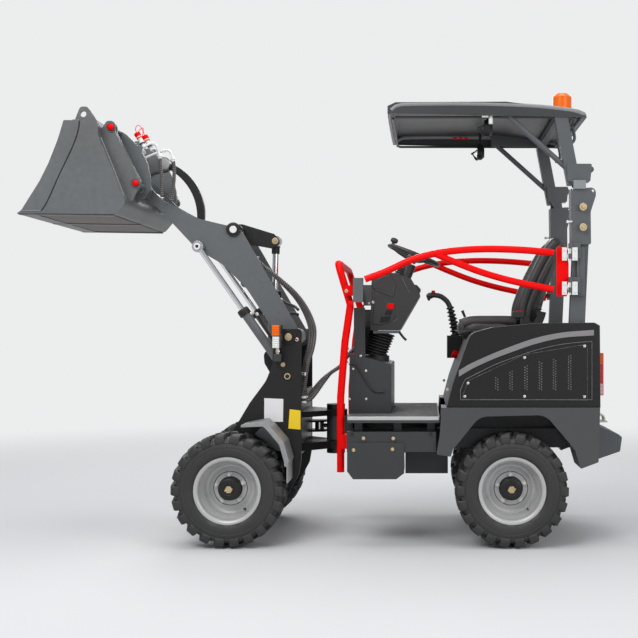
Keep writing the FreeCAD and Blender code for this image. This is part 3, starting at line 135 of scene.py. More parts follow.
def make_floor():
    """A round floor that fades into the backdrop far out."""
    mesh = bpy.data.meshes.new("floor")
    steps, rings = 96, (0.6, 1.2, 2.0, 3.2, 5.0, 8.0, 14.0)
    spots = [(-0.2, 0, 0)]
    for ring in rings:
        spots += [(-0.2 + ring * math.cos(2 * math.pi * i / steps), ring * math.sin(2 * math.pi * i / steps),
                   0) for i in range(steps)]
    faces = [(0, 1 + i, 1 + (i + 1) % steps) for i in range(steps)]
    for k in range(len(rings) - 1):
        a, b = 1 + k * steps, 1 + (k + 1) * steps
        faces += [(a + i, b + i, b + (i + 1) % steps, a + (i + 1) % steps) for i in range(steps)]
    mesh.from_pydata(spots, [], faces)
    floor = bpy.data.objects.new("floor", mesh)
    scene.collection.objects.link(floor)
    material = bpy.data.materials.new("floor")
    material.use_nodes = True
    tree = material.node_tree
    tree.nodes.clear()
    out = tree.nodes.new("ShaderNodeOutputMaterial")
    paint = tree.nodes.new("ShaderNodeBsdfPrincipled")
    paint.inputs["Base Color"].default_value = (0.66, 0.665, 0.67, 1)
    paint.inputs["Roughness"].default_value = 0.85
    paint.inputs["Specular IOR Level"].default_value = 0.2
    far = tree.nodes.new("ShaderNodeEmission")
    far.inputs["Color"].default_value = BACKDROP
    far.inputs["Strength"].default_value = 1.0
    place = tree.nodes.new("ShaderNodeTexCoord")
    length = tree.nodes.new("ShaderNodeVectorMath")
    length.operation = "LENGTH"
    fade = tree.nodes.new("ShaderNodeMapRange")
    fade.interpolation_type = "SMOOTHSTEP"
    fade.inputs["From Min"].default_value = 2.2
    fade.inputs["From Max"].default_value = 7.0
    mix = tree.nodes.new("ShaderNodeMixShader")
    tree.links.new(place.outputs["Object"], length.inputs[0])
    tree.links.new(length.outputs["Value"], fade.inputs["Value"])
    tree.links.new(fade.outputs["Result"], mix.inputs[0])
    tree.links.new(paint.outputs[0], mix.inputs[1])
    tree.links.new(far.outputs[0], mix.inputs[2])
    tree.links.new(mix.outputs[0], out.inputs["Surface"])
    mesh.materials.append(material)


# ---------------------------------------------------------------- looks

def group_tree(name, inputs, outputs):
    """A shader node group with named inputs and outputs."""
    tree = bpy.data.node_groups.new(name, "ShaderNodeTree")
    for label, kind, value in inputs:
        socket = tree.interface.new_socket(name=label, in_out="INPUT", socket_type=kind)
        socket.default_value = value
    for label, kind in outputs:
        tree.interface.new_socket(name=label, in_out="OUTPUT", socket_type=kind)
    return tree, tree.nodes.new("NodeGroupInput"), tree.nodes.new("NodeGroupOutput")


def math_node(tree, operation, a, b=None, clamp=False):
    """One sum of values or sockets."""
    node = tree.nodes.new("ShaderNodeMath")
    node.operation = operation
    node.use_clamp = clamp
    for socket, value in zip(node.inputs, (a, b)):
        if value is None:
            continue
        if isinstance(value, (int, float)):
            socket.default_value = value
        else:
            tree.links.new(value, socket)
    return node.outputs[0]


def mix_colour(tree, factor, a, b, blend="MIX"):
    """Two colours mixed by a factor."""
    node = tree.nodes.new("ShaderNodeMix")
    node.data_type = "RGBA"
    node.blend_type = blend
    for socket, value in ((node.inputs[0], factor), (node.inputs[6], a), (node.inputs[7], b)):
        if isinstance(value, (int, float, tuple)):
            socket.default_value = value
        else:
            tree.links.new(value, socket)
    return node.outputs[2]


def noise(tree, scale, detail=3.0, vector=None):
    """A noise value in the object's own space."""
    node = tree.nodes.new("ShaderNodeTexNoise")
    node.inputs["Detail"].default_value = detail
    if isinstance(scale, (int, float)):
        node.inputs["Scale"].default_value = scale
    else:
        tree.links.new(scale, node.inputs["Scale"])
    if vector is None:
        vector = tree.nodes.new("ShaderNodeTexCoord").outputs["Object"]
    tree.links.new(vector, node.inputs["Vector"])
    return node.outputs[0]


def surface_group():
    """Colour drift, dust on what faces up, wear on edges (on the hood and its panel also a painted highlight
    along them), and a fine grain, for any finish.
    """
    number, colour, vector = "NodeSocketFloat", "NodeSocketColor", "NodeSocketVector"
    tree, get, give = group_tree("surface", [
        ("Colour", colour, (0.1, 0.1, 0.1, 1)), ("Worn", colour, (0.3, 0.3, 0.3, 1)),
        ("Drift", number, 0.15), ("Dust", number, 0.1), ("Edge", number, 0.2),
        ("Roughness", number, 0.4), ("Grain", number, 600.0), ("Height", number, 0.1),
        ("Round", number, 0.0015)],
        [("Colour", colour), ("Roughness", number), ("Normal", vector)])
    links = tree.links
    place = tree.nodes.new("ShaderNodeTexCoord").outputs["Object"]
    broad = noise(tree, 2.2, 4, place)
    fine = noise(tree, 38.0, 6, place)
    grain = noise(tree, get.outputs["Grain"], 2, place)
    soft = tree.nodes.new("ShaderNodeBevel")
    soft.samples = 4
    links.new(get.outputs["Round"], soft.inputs["Radius"])
    geometry = tree.nodes.new("ShaderNodeNewGeometry")
    # colour drift
    shift = math_node(tree, "SUBTRACT", math_node(tree, "ADD", broad, math_node(tree, "MULTIPLY", fine, 0.5)),
                      0.75)
    value = math_node(tree, "ADD", 1.0, math_node(tree, "MULTIPLY", shift, math_node(tree, "MULTIPLY",
                                                                                     get.outputs["Drift"],
                                                                                     2.4)))
    hue = tree.nodes.new("ShaderNodeHueSaturation")
    links.new(value, hue.inputs["Value"])
    links.new(get.outputs["Colour"], hue.inputs["Color"])
    # dust where the surface faces up
    split = tree.nodes.new("ShaderNodeSeparateXYZ")
    links.new(geometry.outputs["Normal"], split.inputs[0])
    up = tree.nodes.new("ShaderNodeMapRange")
    up.inputs["From Min"].default_value = 0.2
    up.inputs["From Max"].default_value = 1.0
    links.new(split.outputs["Z"], up.inputs["Value"])
    speck = tree.nodes.new("ShaderNodeMapRange")
    speck.inputs["From Min"].default_value = 0.35
    speck.inputs["From Max"].default_value = 0.7
    links.new(fine, speck.inputs["Value"])
    dusty = math_node(tree, "MULTIPLY", math_node(tree, "MULTIPLY", up.outputs[0], speck.outputs[0]),
                      get.outputs["Dust"], True)
    with_dust = mix_colour(tree, dusty, hue.outputs[0], (0.34, 0.33, 0.31, 1))
    # wear where two faces meet; on the hood and its panel this also paints the highlight along their edges
    dot = tree.nodes.new("ShaderNodeVectorMath")
    dot.operation = "DOT_PRODUCT"
    links.new(soft.outputs[0], dot.inputs[0])
    links.new(geometry.outputs["Normal"], dot.inputs[1])
    bend = tree.nodes.new("ShaderNodeMapRange")
    bend.inputs["From Min"].default_value = 0.995
    bend.inputs["From Max"].default_value = 0.85
    links.new(dot.outputs["Value"], bend.inputs["Value"])
    worn = math_node(tree, "MULTIPLY",
                     math_node(tree, "MULTIPLY", bend.outputs[0],
                               math_node(tree, "ADD", speck.outputs[0], 0.35)),
                     get.outputs["Edge"], True)
    links.new(mix_colour(tree, worn, with_dust, get.outputs["Worn"]), give.inputs["Colour"])
    rough = math_node(tree, "ADD", get.outputs["Roughness"],
                      math_node(tree, "ADD", math_node(tree, "MULTIPLY", dusty, 0.3),
                                math_node(tree, "MULTIPLY",
                                          math_node(tree, "SUBTRACT", fine, 0.5), 0.12)), True)
    links.new(rough, give.inputs["Roughness"])
    bump = tree.nodes.new("ShaderNodeBump")
    bump.inputs["Distance"].default_value = 0.0006
    links.new(get.outputs["Height"], bump.inputs["Strength"])
    links.new(grain, bump.inputs["Height"])
    links.new(soft.outputs[0], bump.inputs["Normal"])
    links.new(bump.outputs[0], give.inputs["Normal"])
    return tree


SURFACE = surface_group()


def look(name, colour, worn=(0.3, 0.3, 0.3), drift=0.12, dust=0.1, edge=0.2, rough=0.42, grain=600,
         height=0.1, rounding=1.2, metal=0.0, coat=0.0, coat_rough=0.1, specular=0.5, glow=0.0, clear=0.0):
    """A finish: the colour and its wear come from the surface group, the rest sits on the shader."""
    material = bpy.data.materials.new(name)
    material.use_nodes = True
    tree = material.node_tree
    shader = tree.nodes["Principled BSDF"]
    group = tree.nodes.new("ShaderNodeGroup")
    group.node_tree = SURFACE
    group.inputs["Colour"].default_value = (*colour, 1)
    group.inputs["Worn"].default_value = (*worn, 1)
    for label, value in (("Drift", drift), ("Dust", dust), ("Edge", edge), ("Roughness", rough),
                         ("Grain", grain), ("Height", height), ("Round", rounding / 1000)):
        group.inputs[label].default_value = value
    tree.links.new(group.outputs["Colour"], shader.inputs["Base Color"])
    tree.links.new(group.outputs["Roughness"], shader.inputs["Roughness"])
    tree.links.new(group.outputs["Normal"], shader.inputs["Normal"])
    shader.inputs["Metallic"].default_value = metal
    shader.inputs["Coat Weight"].default_value = coat
    shader.inputs["Coat Roughness"].default_value = coat_rough
    shader.inputs["Specular IOR Level"].default_value = specular
    if glow:
        shader.inputs["Emission Color"].default_value = (*colour, 1)
        shader.inputs["Emission Strength"].default_value = glow
    if clear:
        shader.inputs["Transmission Weight"].default_value = clear
    return material


GREY = look("machine grey", (0.098, 0.106, 0.11), worn=(0.3, 0.3, 0.3), drift=0.14, dust=0.12, edge=0.45,
            rough=0.40, grain=900, height=0.12, specular=0.5)
BUCKET = look("bucket grey", (0.1, 0.106, 0.109), worn=(0.38, 0.38, 0.37), drift=0.3, dust=0.2, edge=0.5,
              rough=0.44, grain=700, height=0.15)
BLACK = look("black paint", (0.0145, 0.0135, 0.013), worn=(0.14, 0.14, 0.14), drift=0.15, dust=0.04,
             edge=0.35, rough=0.4, grain=900, height=0.1, specular=0.3)
# hood black: the strong light edge colour (edge 0.75, worn 0.3 on near-black) is edge wear and painted
# highlight along the hood's edges
HOOD = look("hood black", (0.0095, 0.009, 0.0088), worn=(0.3, 0.3, 0.3), drift=0.12, dust=0.05, edge=0.75,
            rough=0.38, grain=1500, height=0.3, rounding=3.0, specular=0.34)
RED = look("red paint", (0.78, 0.001, 0.001), worn=(0.95, 0.012, 0.008), drift=0.05, dust=0.0, edge=0.1,
           rough=0.4, grain=500, height=0.03, specular=0.1)
RED_BAR = look("red bar", (0.8, 0.001, 0.001), worn=(0.9, 0.012, 0.008), drift=0.05, dust=0.0, edge=0.1,
               rough=0.34, grain=500, height=0.03, specular=0.14)
SILVER = look("rim silver", (0.47, 0.47, 0.465), worn=(0.6, 0.6, 0.6), drift=0.07, dust=0.08, edge=0.1,
              rough=0.36, grain=1200, height=0.06, metal=0.25)
RUBBER = look("tyre rubber", (0.032, 0.032, 0.031), worn=(0.10, 0.10, 0.095), drift=0.3, dust=0.3, edge=0.4,
              rough=0.66, grain=420, height=0.35, rounding=2.0, specular=0.4)
CAST = look("cast iron", (0.05, 0.05, 0.05), worn=(0.12, 0.12, 0.12), drift=0.3, dust=0.15, edge=0.3,
            rough=0.6, grain=260, height=0.6, rounding=2.5)
MAT = look("rib mat", (0.035, 0.036, 0.037), worn=(0.2, 0.2, 0.2), drift=0.25, dust=0.45, edge=0.5,
           rough=0.5, grain=500, height=0.2)
PLASTIC = look("black plastic", (0.032, 0.031, 0.031), worn=(0.12, 0.12, 0.12), drift=0.1, dust=0.1, edge=0.4,
               rough=0.42, grain=1600, height=0.35, rounding=2.0)
BOOT = look("boot rubber", (0.018, 0.018, 0.018), worn=(0.08, 0.08, 0.08), drift=0.2, dust=0.12, edge=0.3,
            rough=0.38, grain=500, height=0.1)
VINYL = look("seat vinyl", (0.05, 0.046, 0.046), worn=(0.09, 0.09, 0.09), drift=0.12, dust=0.08, edge=0.2,
             rough=0.46, grain=950, height=0.5, rounding=2.0)
SHEET = look("galvanised sheet", (0.26, 0.265, 0.265), worn=(0.4, 0.4, 0.4), drift=0.35, dust=0.1, edge=0.3,
             rough=0.42, grain=120, height=0.2, metal=0.3)
ROOF = look("roof plastic", (0.03, 0.0315, 0.033), worn=(0.3, 0.3, 0.3), drift=0.1, dust=0.2, edge=0.45,
            rough=0.40, grain=1400, height=0.25, rounding=3.0)
CHROME = look("rod chrome", (0.75, 0.76, 0.77), worn=(0.8, 0.8, 0.8), drift=0.05, dust=0.0, edge=0.0,
              rough=0.14, grain=300, height=0.02, metal=1.0)
STEEL = look("pin steel", (0.42, 0.42, 0.41), worn=(0.6, 0.6, 0.6), drift=0.2, dust=0.05, edge=0.3,
             rough=0.34, grain=700, height=0.2, metal=0.9)
ZINC = look("zinc bolts", (0.62, 0.60, 0.54), worn=(0.8, 0.8, 0.78), drift=0.25, dust=0.05, edge=0.4,
            rough=0.3, grain=500, height=0.1, rounding=0.6, metal=0.75)
BRASS = look("passivated zinc", (0.58, 0.46, 0.27), worn=(0.8, 0.7, 0.5), drift=0.25, dust=0.05, edge=0.4,
             rough=0.32, grain=500, height=0.1, rounding=0.6, metal=0.7)
WHITE = look("white zinc", (0.68, 0.68, 0.67), worn=(0.8, 0.8, 0.8), drift=0.08, dust=0.05, edge=0.2,
             rough=0.4, grain=500, height=0.1, rounding=0.8)
PLATE_WHITE = look("white plate", (0.74, 0.74, 0.74), worn=(0.6, 0.6, 0.6), drift=0.04, dust=0.05, edge=0.1,
                   rough=0.35, grain=500, height=0.02, rounding=0.3)
PLATE_YELLOW = look("yellow plate", (0.86, 0.6, 0.01), worn=(0.6, 0.5, 0.2), drift=0.04, dust=0.05, edge=0.1,
                    rough=0.35, grain=500, height=0.02, rounding=0.3)
HOSE = look("hose rubber", (0.016, 0.016, 0.016), worn=(0.06, 0.06, 0.06), drift=0.15, dust=0.1, edge=0.2,
            rough=0.42, grain=600, height=0.1)
# the real wrap is black; its grey and light worn edges here are painted highlight on the ridges
WRAP_WITH_HIGHLIGHT = look("spiral wrap", (0.13, 0.12, 0.115), worn=(0.4, 0.38, 0.37), drift=0.3, dust=0.2, edge=0.6,
            rough=0.3, grain=600, height=0.05, rounding=1.5)
AMBER = look("amber lens", (0.78, 0.13, 0.0), worn=(0.95, 0.32, 0.01), drift=0.12, dust=0.0, edge=0.2,
             rough=0.25, grain=200, height=0.05, coat=0.2, specular=0.2, glow=0.06)
RED_LENS = look("red lens", (0.55, 0.004, 0.004), worn=(0.8, 0.1, 0.1), drift=0.1, dust=0.05, edge=0.3,
                rough=0.2, grain=200, height=0.05, coat=0.6)
CLEAR_LENS = look("clear lens", (0.72, 0.72, 0.71), worn=(0.9, 0.9, 0.9), drift=0.06, dust=0.05, edge=0.2,
                  rough=0.16, grain=250, height=0.1, coat=0.7)
STRIPE = look("hood stripe", (0.2, 0.195, 0.2), worn=(0.3, 0.3, 0.3), drift=0.08, dust=0.1, edge=0.2,
              rough=0.42, grain=900, height=0.05)
# hood panel: its strong light edge colour is edge wear and painted highlight along the panel's edges
PANEL = look("hood panel", (0.07, 0.073, 0.072), worn=(0.4, 0.4, 0.4), drift=0.08, dust=0.1, edge=0.7,
             rough=0.42, grain=900, height=0.1, rounding=1.5)
FENDER = look("fender grey", (0.055, 0.0575, 0.0585), worn=(0.26, 0.26, 0.26), drift=0.14, dust=0.1, edge=0.5,
              rough=0.42, grain=900, height=0.12, specular=0.42)
SILL = look("sill grey", (0.035, 0.0365, 0.038), worn=(0.2, 0.2, 0.2), drift=0.16, dust=0.12, edge=0.45,
            rough=0.44, grain=900, height=0.12, specular=0.4)
POST = look("post grey", (0.078, 0.085, 0.09), worn=(0.3, 0.3, 0.3), drift=0.12, dust=0.1, edge=0.45,
            rough=0.4, grain=900, height=0.12, specular=0.45)
SLEEVE = look("post sleeve", (0.2, 0.215, 0.22), worn=(0.4, 0.4, 0.4), drift=0.1, dust=0.1, edge=0.3,
              rough=0.42, grain=900, height=0.1)
RIM_GREY = look("roof rim grey", (0.2, 0.21, 0.215), worn=(0.4, 0.4, 0.4), drift=0.1, dust=0.25, edge=0.3,
                rough=0.4, grain=1400, height=0.2)
# a light grey for thin lines on the crests and edges of black plastic and rubber: painted highlight
PAINTED_HIGHLIGHT_EDGE = look("painted highlight edge", (0.12, 0.12, 0.115), worn=(0.3, 0.3, 0.3), drift=0.1, dust=0.1, edge=0.3,
           rough=0.4, grain=900, height=0.1)
WELD = look("weld bead", (0.16, 0.165, 0.165), worn=(0.34, 0.34, 0.34), drift=0.3, dust=0.1, edge=0.5,
            rough=0.45, grain=400, height=0.4)
UNDERSIDE = look("bucket underside", (0.075, 0.058, 0.05), worn=(0.2, 0.19, 0.18), drift=0.4, dust=0.1,
                 edge=0.3, rough=0.55, grain=300, height=0.3)
# near-black for painted shade: the line in the step along the bucket's side strips and the shade inside the
# sill holes
SHADE_BLACK = look("painted shade black", (0.008, 0.008, 0.008), worn=(0.02, 0.02, 0.02), drift=0.1, dust=0.0, edge=0.1,
            rough=0.7, grain=600, height=0.1)
ALUMINIUM = look("edge strip", (0.58, 0.58, 0.57), worn=(0.8, 0.8, 0.8), drift=0.1, dust=0.1, edge=0.4,
                 rough=0.34, grain=600, height=0.1, metal=0.6)

DRESS = {
    "rear_frame": SILL, "rear_axle": BLACK, "engine": CAST, "engine_hood": HOOD, "rear_fenders": FENDER,
    "footplate": MAT, "entry_steps": SILL, "counterweight": POST, "front_guard": RED, "latch_boxes": GREY,
    "console": SILL, "dash": PLASTIC, "bellows": BOOT, "seat_cushion": VINYL, "seat_back": VINYL,
    "side_console": HOOD, "joystick": PLASTIC, "rops_posts": POST, "tail_lamps": RED_LENS,
    "steering_wheel": PLASTIC, "rops_frame": POST, "canopy_roof": ROOF, "beacon": AMBER, "work_lamps": BLACK,
    "side_guard_left": RED_BAR, "side_guard_right": RED_BAR, "steer_barrel": BLACK, "steer_rod": CHROME,
    "front_tower": BLACK, "articulation_pin": BLACK, "front_axle": BLACK, "front_mudguards": SHEET,
    "front_lamps": PLASTIC, "boom": GREY, "lift_barrels": GREY, "lift_rods": CHROME, "tilt_barrel": GREY,
    "tilt_rod": CHROME, "crank_pin": STEEL, "bellcrank": BLACK, "tip_pin": STEEL, "quick_coupler": GREY,
    "bucket": BUCKET, "link_pin": STEEL, "tilt_link": BLACK, "boom_hoses": HOSE, "tower_hoses": HOSE,
    "dash_hoses": HOSE, "coupler_hoses": HOSE,
}
for corner in ("front_left", "front_right", "rear_left", "rear_right"):
    DRESS["tyre_" + corner] = RUBBER
    DRESS["wheel_" + corner] = SILVER


def dress_nodes():
    """Gives each solid its finish."""
    for node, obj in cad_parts.items():
        obj.data.materials.clear()
        obj.data.materials.append(DRESS[node])


# ---------------------------------------------------------------- making pieces

class Piece:
    """One named piece of the model: shapes are added to it in metres, then it is put on its body."""

    def __init__(self, name, body, slot, finish):
        self.name, self.body, self.slot, self.finish = name, body, slot, finish
        self.bm = bmesh.new()

    def ring_of(self, spots):
        """New corners at the spots, in metres."""
        return [self.bm.verts.new(s) for s in spots]

    def skin(self, rings, around=True, ends=True):
        """Faces between rings of equal counts, and over both ends."""
        for a, b in zip(rings, rings[1:]):
            count = len(a)
            for i in range(count if around else count - 1):
                j = (i + 1) % count
                self.bm.faces.new((a[i], a[j], b[j], b[i]))
        if ends:
            self.bm.faces.new(list(reversed(rings[0])))
            self.bm.faces.new(rings[-1])

    def turned(self, profile, centre, axis=Y, steps=32, loose=False):
        """A turned shape: profile is (distance along the axis, radius) in mm; a radius of 0 closes it."""
        axis = Vector(axis).normalized()
        side = axis.cross(Z if abs(axis.z) < 0.9 else X).normalized()
        other = axis.cross(side)
        rings = []
        for along, radius in profile:
            middle = centre + axis * (along / 1000)
            if radius == 0:
                rings.append([self.bm.verts.new(middle)])
            else:
                rings.append(self.ring_of([
                    middle + (side * math.cos(t) + other * math.sin(t)) * (radius / 1000)
                    for t in (2 * math.pi * i / steps for i in range(steps))]))
        for a, b in zip(rings, rings[1:]):
            for i in range(steps):
                j = (i + 1) % steps
                if len(a) == 1 and len(b) > 1:
                    self.bm.faces.new((a[0], b[j], b[i]))
                elif len(b) == 1 and len(a) > 1:
                    self.bm.faces.new((a[i], a[j], b[0]))
                elif len(a) > 1:
                    self.bm.faces.new((a[i], a[j], b[j], b[i]))
        if not loose and len(rings[0]) > 1 and len(rings[-1]) > 1:
            self.bm.faces.new(list(reversed(rings[0])))
            self.bm.faces.new(rings[-1])
        return self

    def drum(self, centre, axis, radius, length, bevel=1.0, steps=24):
        """A short round bar with broken edges, from centre along axis, in mm."""
        self.turned([(0, 0), (0, radius - bevel), (bevel, radius), (length - bevel, radius),
                     (length, radius - bevel), (length, 0)], centre, axis, steps)
        return self

    def sheet(self, outline, y):
        """A plate with an outline (x, z) in mm between two values of y in mm."""
        y0, y1 = sorted(y)
        a = self.ring_of([mm(p[0], y0, p[1]) for p in outline])
        b = self.ring_of([mm(p[0], y1, p[1]) for p in outline])
        self.skin([a, b])
        return self

    def block(self, low, high, turn=None):
        """A box between two corners in mm, turned by a matrix about its middle."""
        low, high = mm(*low), mm(*high)
        middle = (low + high) / 2
        spots = [Vector((x, y, z)) for z in (low.z, high.z)
                 for x, y in ((low.x, low.y), (high.x, low.y), (high.x, high.y), (low.x, high.y))]
        if turn is not None:
            spots = [middle + turn @ (s - middle) for s in spots]
        self.skin([self.ring_of(spots[:4]), self.ring_of(spots[4:])])
        return self

    def bar(self, points, radius, steps=12, ends=True):
        """A round bar or hose of one radius, or one radius a point, through points in metres."""
        radii = radius if isinstance(radius, (list, tuple)) else [radius] * len(points)
        rings, side = [], None
        for i, here in enumerate(points):
            before, after = points[max(i - 1, 0)], points[min(i + 1, len(points) - 1)]
            along = (after - before).normalized()
            if side is None:
                side = along.orthogonal().normalized()
            side = (side - along * side.dot(along)).normalized()
            other = along.cross(side)
            rings.append(self.ring_of([
                here + (side * math.cos(t) + other * math.sin(t)) * (radii[i] / 1000)
                for t in (2 * math.pi * k / steps for k in range(steps))]))
        self.skin(rings, ends=ends)
        return self

    def bolt(self, centre, axis, size, washer=1.9, head=0.65, hexagon=True):
        """A bolt head on its washer, size is the thread in mm."""
        axis = Vector(axis).normalized()
        if washer:
            self.turned([(0, 0), (0, size * washer / 2 * 1.08), (size * 0.14, size * washer / 2 * 1.08),
                         (size * 0.2, size * washer / 2), (size * 0.2, 0)], centre, axis, 20)
        start = size * 0.19 if washer else 0
        wide = size * 0.92
        steps = 6 if hexagon else 16
        self.turned([(start, wide), (start + size * head * 0.85, wide), (start + size * head, wide * 0.86),
                     (start + size * head, 0)], centre, axis, steps, loose=True)
        return self

    def done(self, smooth=38, bevel=0.0, segments=2):
        """Makes the object and rides it on its body; edges sharper than smooth degrees stay sharp."""
        bmesh.ops.recalc_face_normals(self.bm, faces=self.bm.faces)
        for face in self.bm.faces:
            face.smooth = True
        limit = math.radians(smooth)
        for edge in self.bm.edges:
            if len(edge.link_faces) == 2 and edge.calc_face_angle(0) > limit:
                edge.smooth = False
        mesh = bpy.data.meshes.new(self.name)
        self.bm.to_mesh(mesh)
        self.bm.free()
        obj = bpy.data.objects.new(self.name, mesh)
        scene.collection.objects.link(obj)
        mesh.materials.append(self.finish)
        if bevel:
            edges = obj.modifiers.new("edges", "BEVEL")
            edges.width = bevel / 1000
            edges.segments = segments
            edges.limit_method = "ANGLE"
            edges.angle_limit = math.radians(32)
            edges.harden_normals = False
        if self.body:
            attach(obj, self.body)
        return obj


def spline(points, per=8):
    """Points along a smooth line through the given points, in metres."""
    pts = [Vector(p) for p in points]
    pts = [pts[0] * 2 - pts[1]] + pts + [pts[-1] * 2 - pts[-2]]
    out = []
    for i in range(1, len(pts) - 2):
        a, b, c, d = pts[i - 1:i + 3]
        for k in range(per):
            t = k / per
            out.append(0.5 * ((2 * b) + (c - a) * t + (2 * a - 5 * b + 4 * c - d) * t * t
                              + (3 * b - a - 3 * c + d) * t ** 3))
    out.append(pts[-2])
    return out


def centre_of(node):
    """The middle of a node's box, in metres."""
    low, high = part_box(node)
    return (low + high) / 2


# ---------------------------------------------------------------- wheels

TYRE_RADIUS, TYRE_HALF, LUGS = 292.0, 108.0, 22


def wheel_centre(corner):
    """The middle of a wheel, taken across from its tyre."""
    tyre = centre_of("tyre_" + corner)
    return Vector((centre_of("wheel_" + corner).x, tyre.y, tyre.z))


def tyre_piece(corner, side):
    """A tyre with a ringed sidewall and deep shoulder blocks that run in to the middle of the tread."""
    centre = wheel_centre(corner)
    piece = Piece("tyre_dressed_" + corner, "wheel_" + corner, "tyre_rubber", RUBBER)
    half = [(78, 156), (86, 158), (89, 163), (90, 170), (94, 174), (99, 177), (103, 184), (106, 194),
            (107.4, 205), (107.4, 213), (106.2, 215), (106.2, 219), (107.2, 221), (106, 230), (103.5, 237),
            (101, 238), (101, 241), (102.5, 243), (99, 252), (93, 259), (82, 264.5), (62, 267.5), (36, 269.5),
            (12, 270), (0, 270),]
    profile = half + [(-a, r) for a, r in reversed(half[:-1])]
    steps = 132
    rings = []
    for a, r in profile:
        rings.append(piece.ring_of([
            centre + Vector((math.cos(t) * r, a, math.sin(t) * r)) / 1000
            for t in (2 * math.pi * i / steps for i in range(steps))]))
    rings.append(rings[0])
    piece.skin(rings, ends=False)
    path = [(102, 243, 20, 2), (104, 250, 21, 5), (102, 262, 22, 11), (97, 272, 23, 15), (88, 274, 23, 16.5),
            (70, 272, 20, 18.5), (48, 271, 17, 20), (28, 270.5, 15, 21), (8, 270, 13, 21.4)]
    for flank, lead in ((1, 0.0), (-1, 0.5)):
        for n in range(LUGS):
            base = 2 * math.pi * (n + lead) / LUGS
            previous = None
            for a, r, wide, high in path:
                run = 1 - a / 104
                skew = base + side * 0.115 * max(0, run) ** 1.1
                lean = max(0.0, min(1.0, (a - 84) / 20))
                outward = 1 - 0.62 * lean
                top_r = min(r - 4 + high * outward + 1.5 * (1 - lean), TYRE_RADIUS - 0.2)
                top_a = min(a + high * lean * 0.42, TYRE_HALF - 0.2)
                lows = [(a - 1, r - 4, -wide * 1.12), (a - 1, r - 4, wide * 1.12)]
                mid_a, mid_r = (a + 3 * top_a) / 4, ((r - 4) + 4 * top_r) / 5
                section = [lows[0], (mid_a, mid_r, -wide), (top_a, top_r, -wide * 0.9),
                           (top_a, top_r, wide * 0.9), (mid_a, mid_r, wide), lows[1]]
                spots = []
                for sa, sr, off in section:
                    angle = skew + off / sr
                    spots.append(centre + Vector((math.cos(angle) * sr, flank * sa, math.sin(angle) * sr))
                                 / 1000)
                ring = piece.ring_of(spots)
                if previous:
                    piece.skin([previous, ring], ends=False)
                else:
                    piece.bm.faces.new(list(reversed(ring)))
                previous = ring
            piece.bm.faces.new(previous)
    obj = piece.done(smooth=30, bevel=0)
    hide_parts("tyre_" + corner)


def wheel_piece(corner, side):
    """A welded steel wheel: rolled flange, well, dished disc, hub cap, nuts and valve."""
    centre = wheel_centre(corner)
    out = Y * side
    rim = Piece("rim_" + corner, "wheel_" + corner, "rim_silver", SILVER)
    rim.turned([(-92, 164), (-93, 169), (-90, 171.5), (-87, 169), (-86, 160), (-80, 153.5), (-48, 151),
                (-34, 134), (22, 134), (42, 151), (72, 152.8), (82, 155), (86.5, 160), (87.5, 168),
                (89.5, 171.8), (92.4, 170.5), (92.6, 166), (90, 158.5), (85, 150.5), (80, 149), (60, 148.2),
                (47, 147), (44, 145), (27, 130.5), (20, 129.5), (-8, 129), (-14, 127), (-19, 120), (-17, 108),
                (-9, 92), (-7, 70), (-7, 54), (-9, 54), (-13, 70), (-15, 93), (-23, 112), (-26, 124),
                (-34, 130), (-50, 146), (-82, 148), (-89, 156), (-92, 164),], centre, out, 96, loose=True)
    rim_obj = rim.done(smooth=60)
    weld = Piece("rim_weld_" + corner, "wheel_" + corner, "rim_silver", SILVER)
    ring = [centre + out * -0.0105 + Vector((math.cos(t), 0, math.sin(t)))
            * (0.1275 + 0.0006 * math.sin(t * 70)) for t in (2 * math.pi * i / 160 for i in range(161))]
    weld.bar(ring, 2.6, 8, ends=False)
    weld.done()
    hub = Piece("hub_" + corner, "wheel_" + corner, "black_paint", BLACK)
    hub.turned([(-20, 62), (-4, 62), (2, 60), (4, 57), (38, 56), (43, 54), (45.5, 50), (46, 30), (44, 27),
                (44, 0)], centre, out, 56)
    hub.done(smooth=32)
    nut = Piece("hub_nut_" + corner, "wheel_" + corner, "pin_steel", BRASS)
    nut.turned([(43, 20), (50, 20), (52, 18), (52, 0)], centre, out, 6, loose=True)
    nut.drum(centre + out * 0.045, out, 9, 12.5, 1.2, 20)
    pin = centre + out * 0.0545
    nut.bar([pin + Vector((-0.021, 0, 0.006)), pin + Vector((0.021, 0, -0.006))], 2.2, 8)
    nut.done()
    bolts = Piece("wheel_nuts_" + corner, "wheel_" + corner, "rim_silver", WHITE)
    for i in range(5):
        turn = 2 * math.pi * i / 5 + 0.06
        spot = centre + Vector((math.sin(turn), 0, math.cos(turn))) * 0.071 + out * -0.007
        bolts.turned([(0, 0), (0, 15), (3, 13), (4, 11.5), (4, 0)], spot, out, 20)
        bolts.turned([(3, 10.5), (14, 10.5), (15.5, 9), (15.5, 6), (20, 5.5), (21, 0)], spot, out, 6,
                     loose=True)
    bolts.done()
    valve = Piece("valve_" + corner, "wheel_" + corner, "tyre_rubber", BOOT)
    stem = centre + Vector((-0.086 * side, 0, -0.104)) + out * 0.022
    valve.turned([(-6, 8), (2, 7), (4, 4.5), (18, 4), (18.5, 5), (28, 4.8), (29, 3.5), (29, 0)],
                 stem, out + Vector((0.3 * side, 0, 0.35)), 14)
    valve.done()
    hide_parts("wheel_" + corner)


def make_wheels():
    """All four wheels with their tyres."""
    for corner, side in (("front_left", LEFT), ("rear_left", LEFT), ("front_right", RIGHT),
                         ("rear_right", RIGHT)):
        tyre_piece(corner, side)
        wheel_piece(corner, side)


# ---------------------------------------------------------------- hoses

def resample(points, step):
    """Points at even steps along a line, in metres."""
    out, left = [points[0]], step
    for a, b in zip(points, points[1:]):
        run = (b - a).length
        while left <= run:
            out.append(a + (b - a) * (left / run))
            left += step
        left -= run
    return out


FAN_SHARE = 0.62


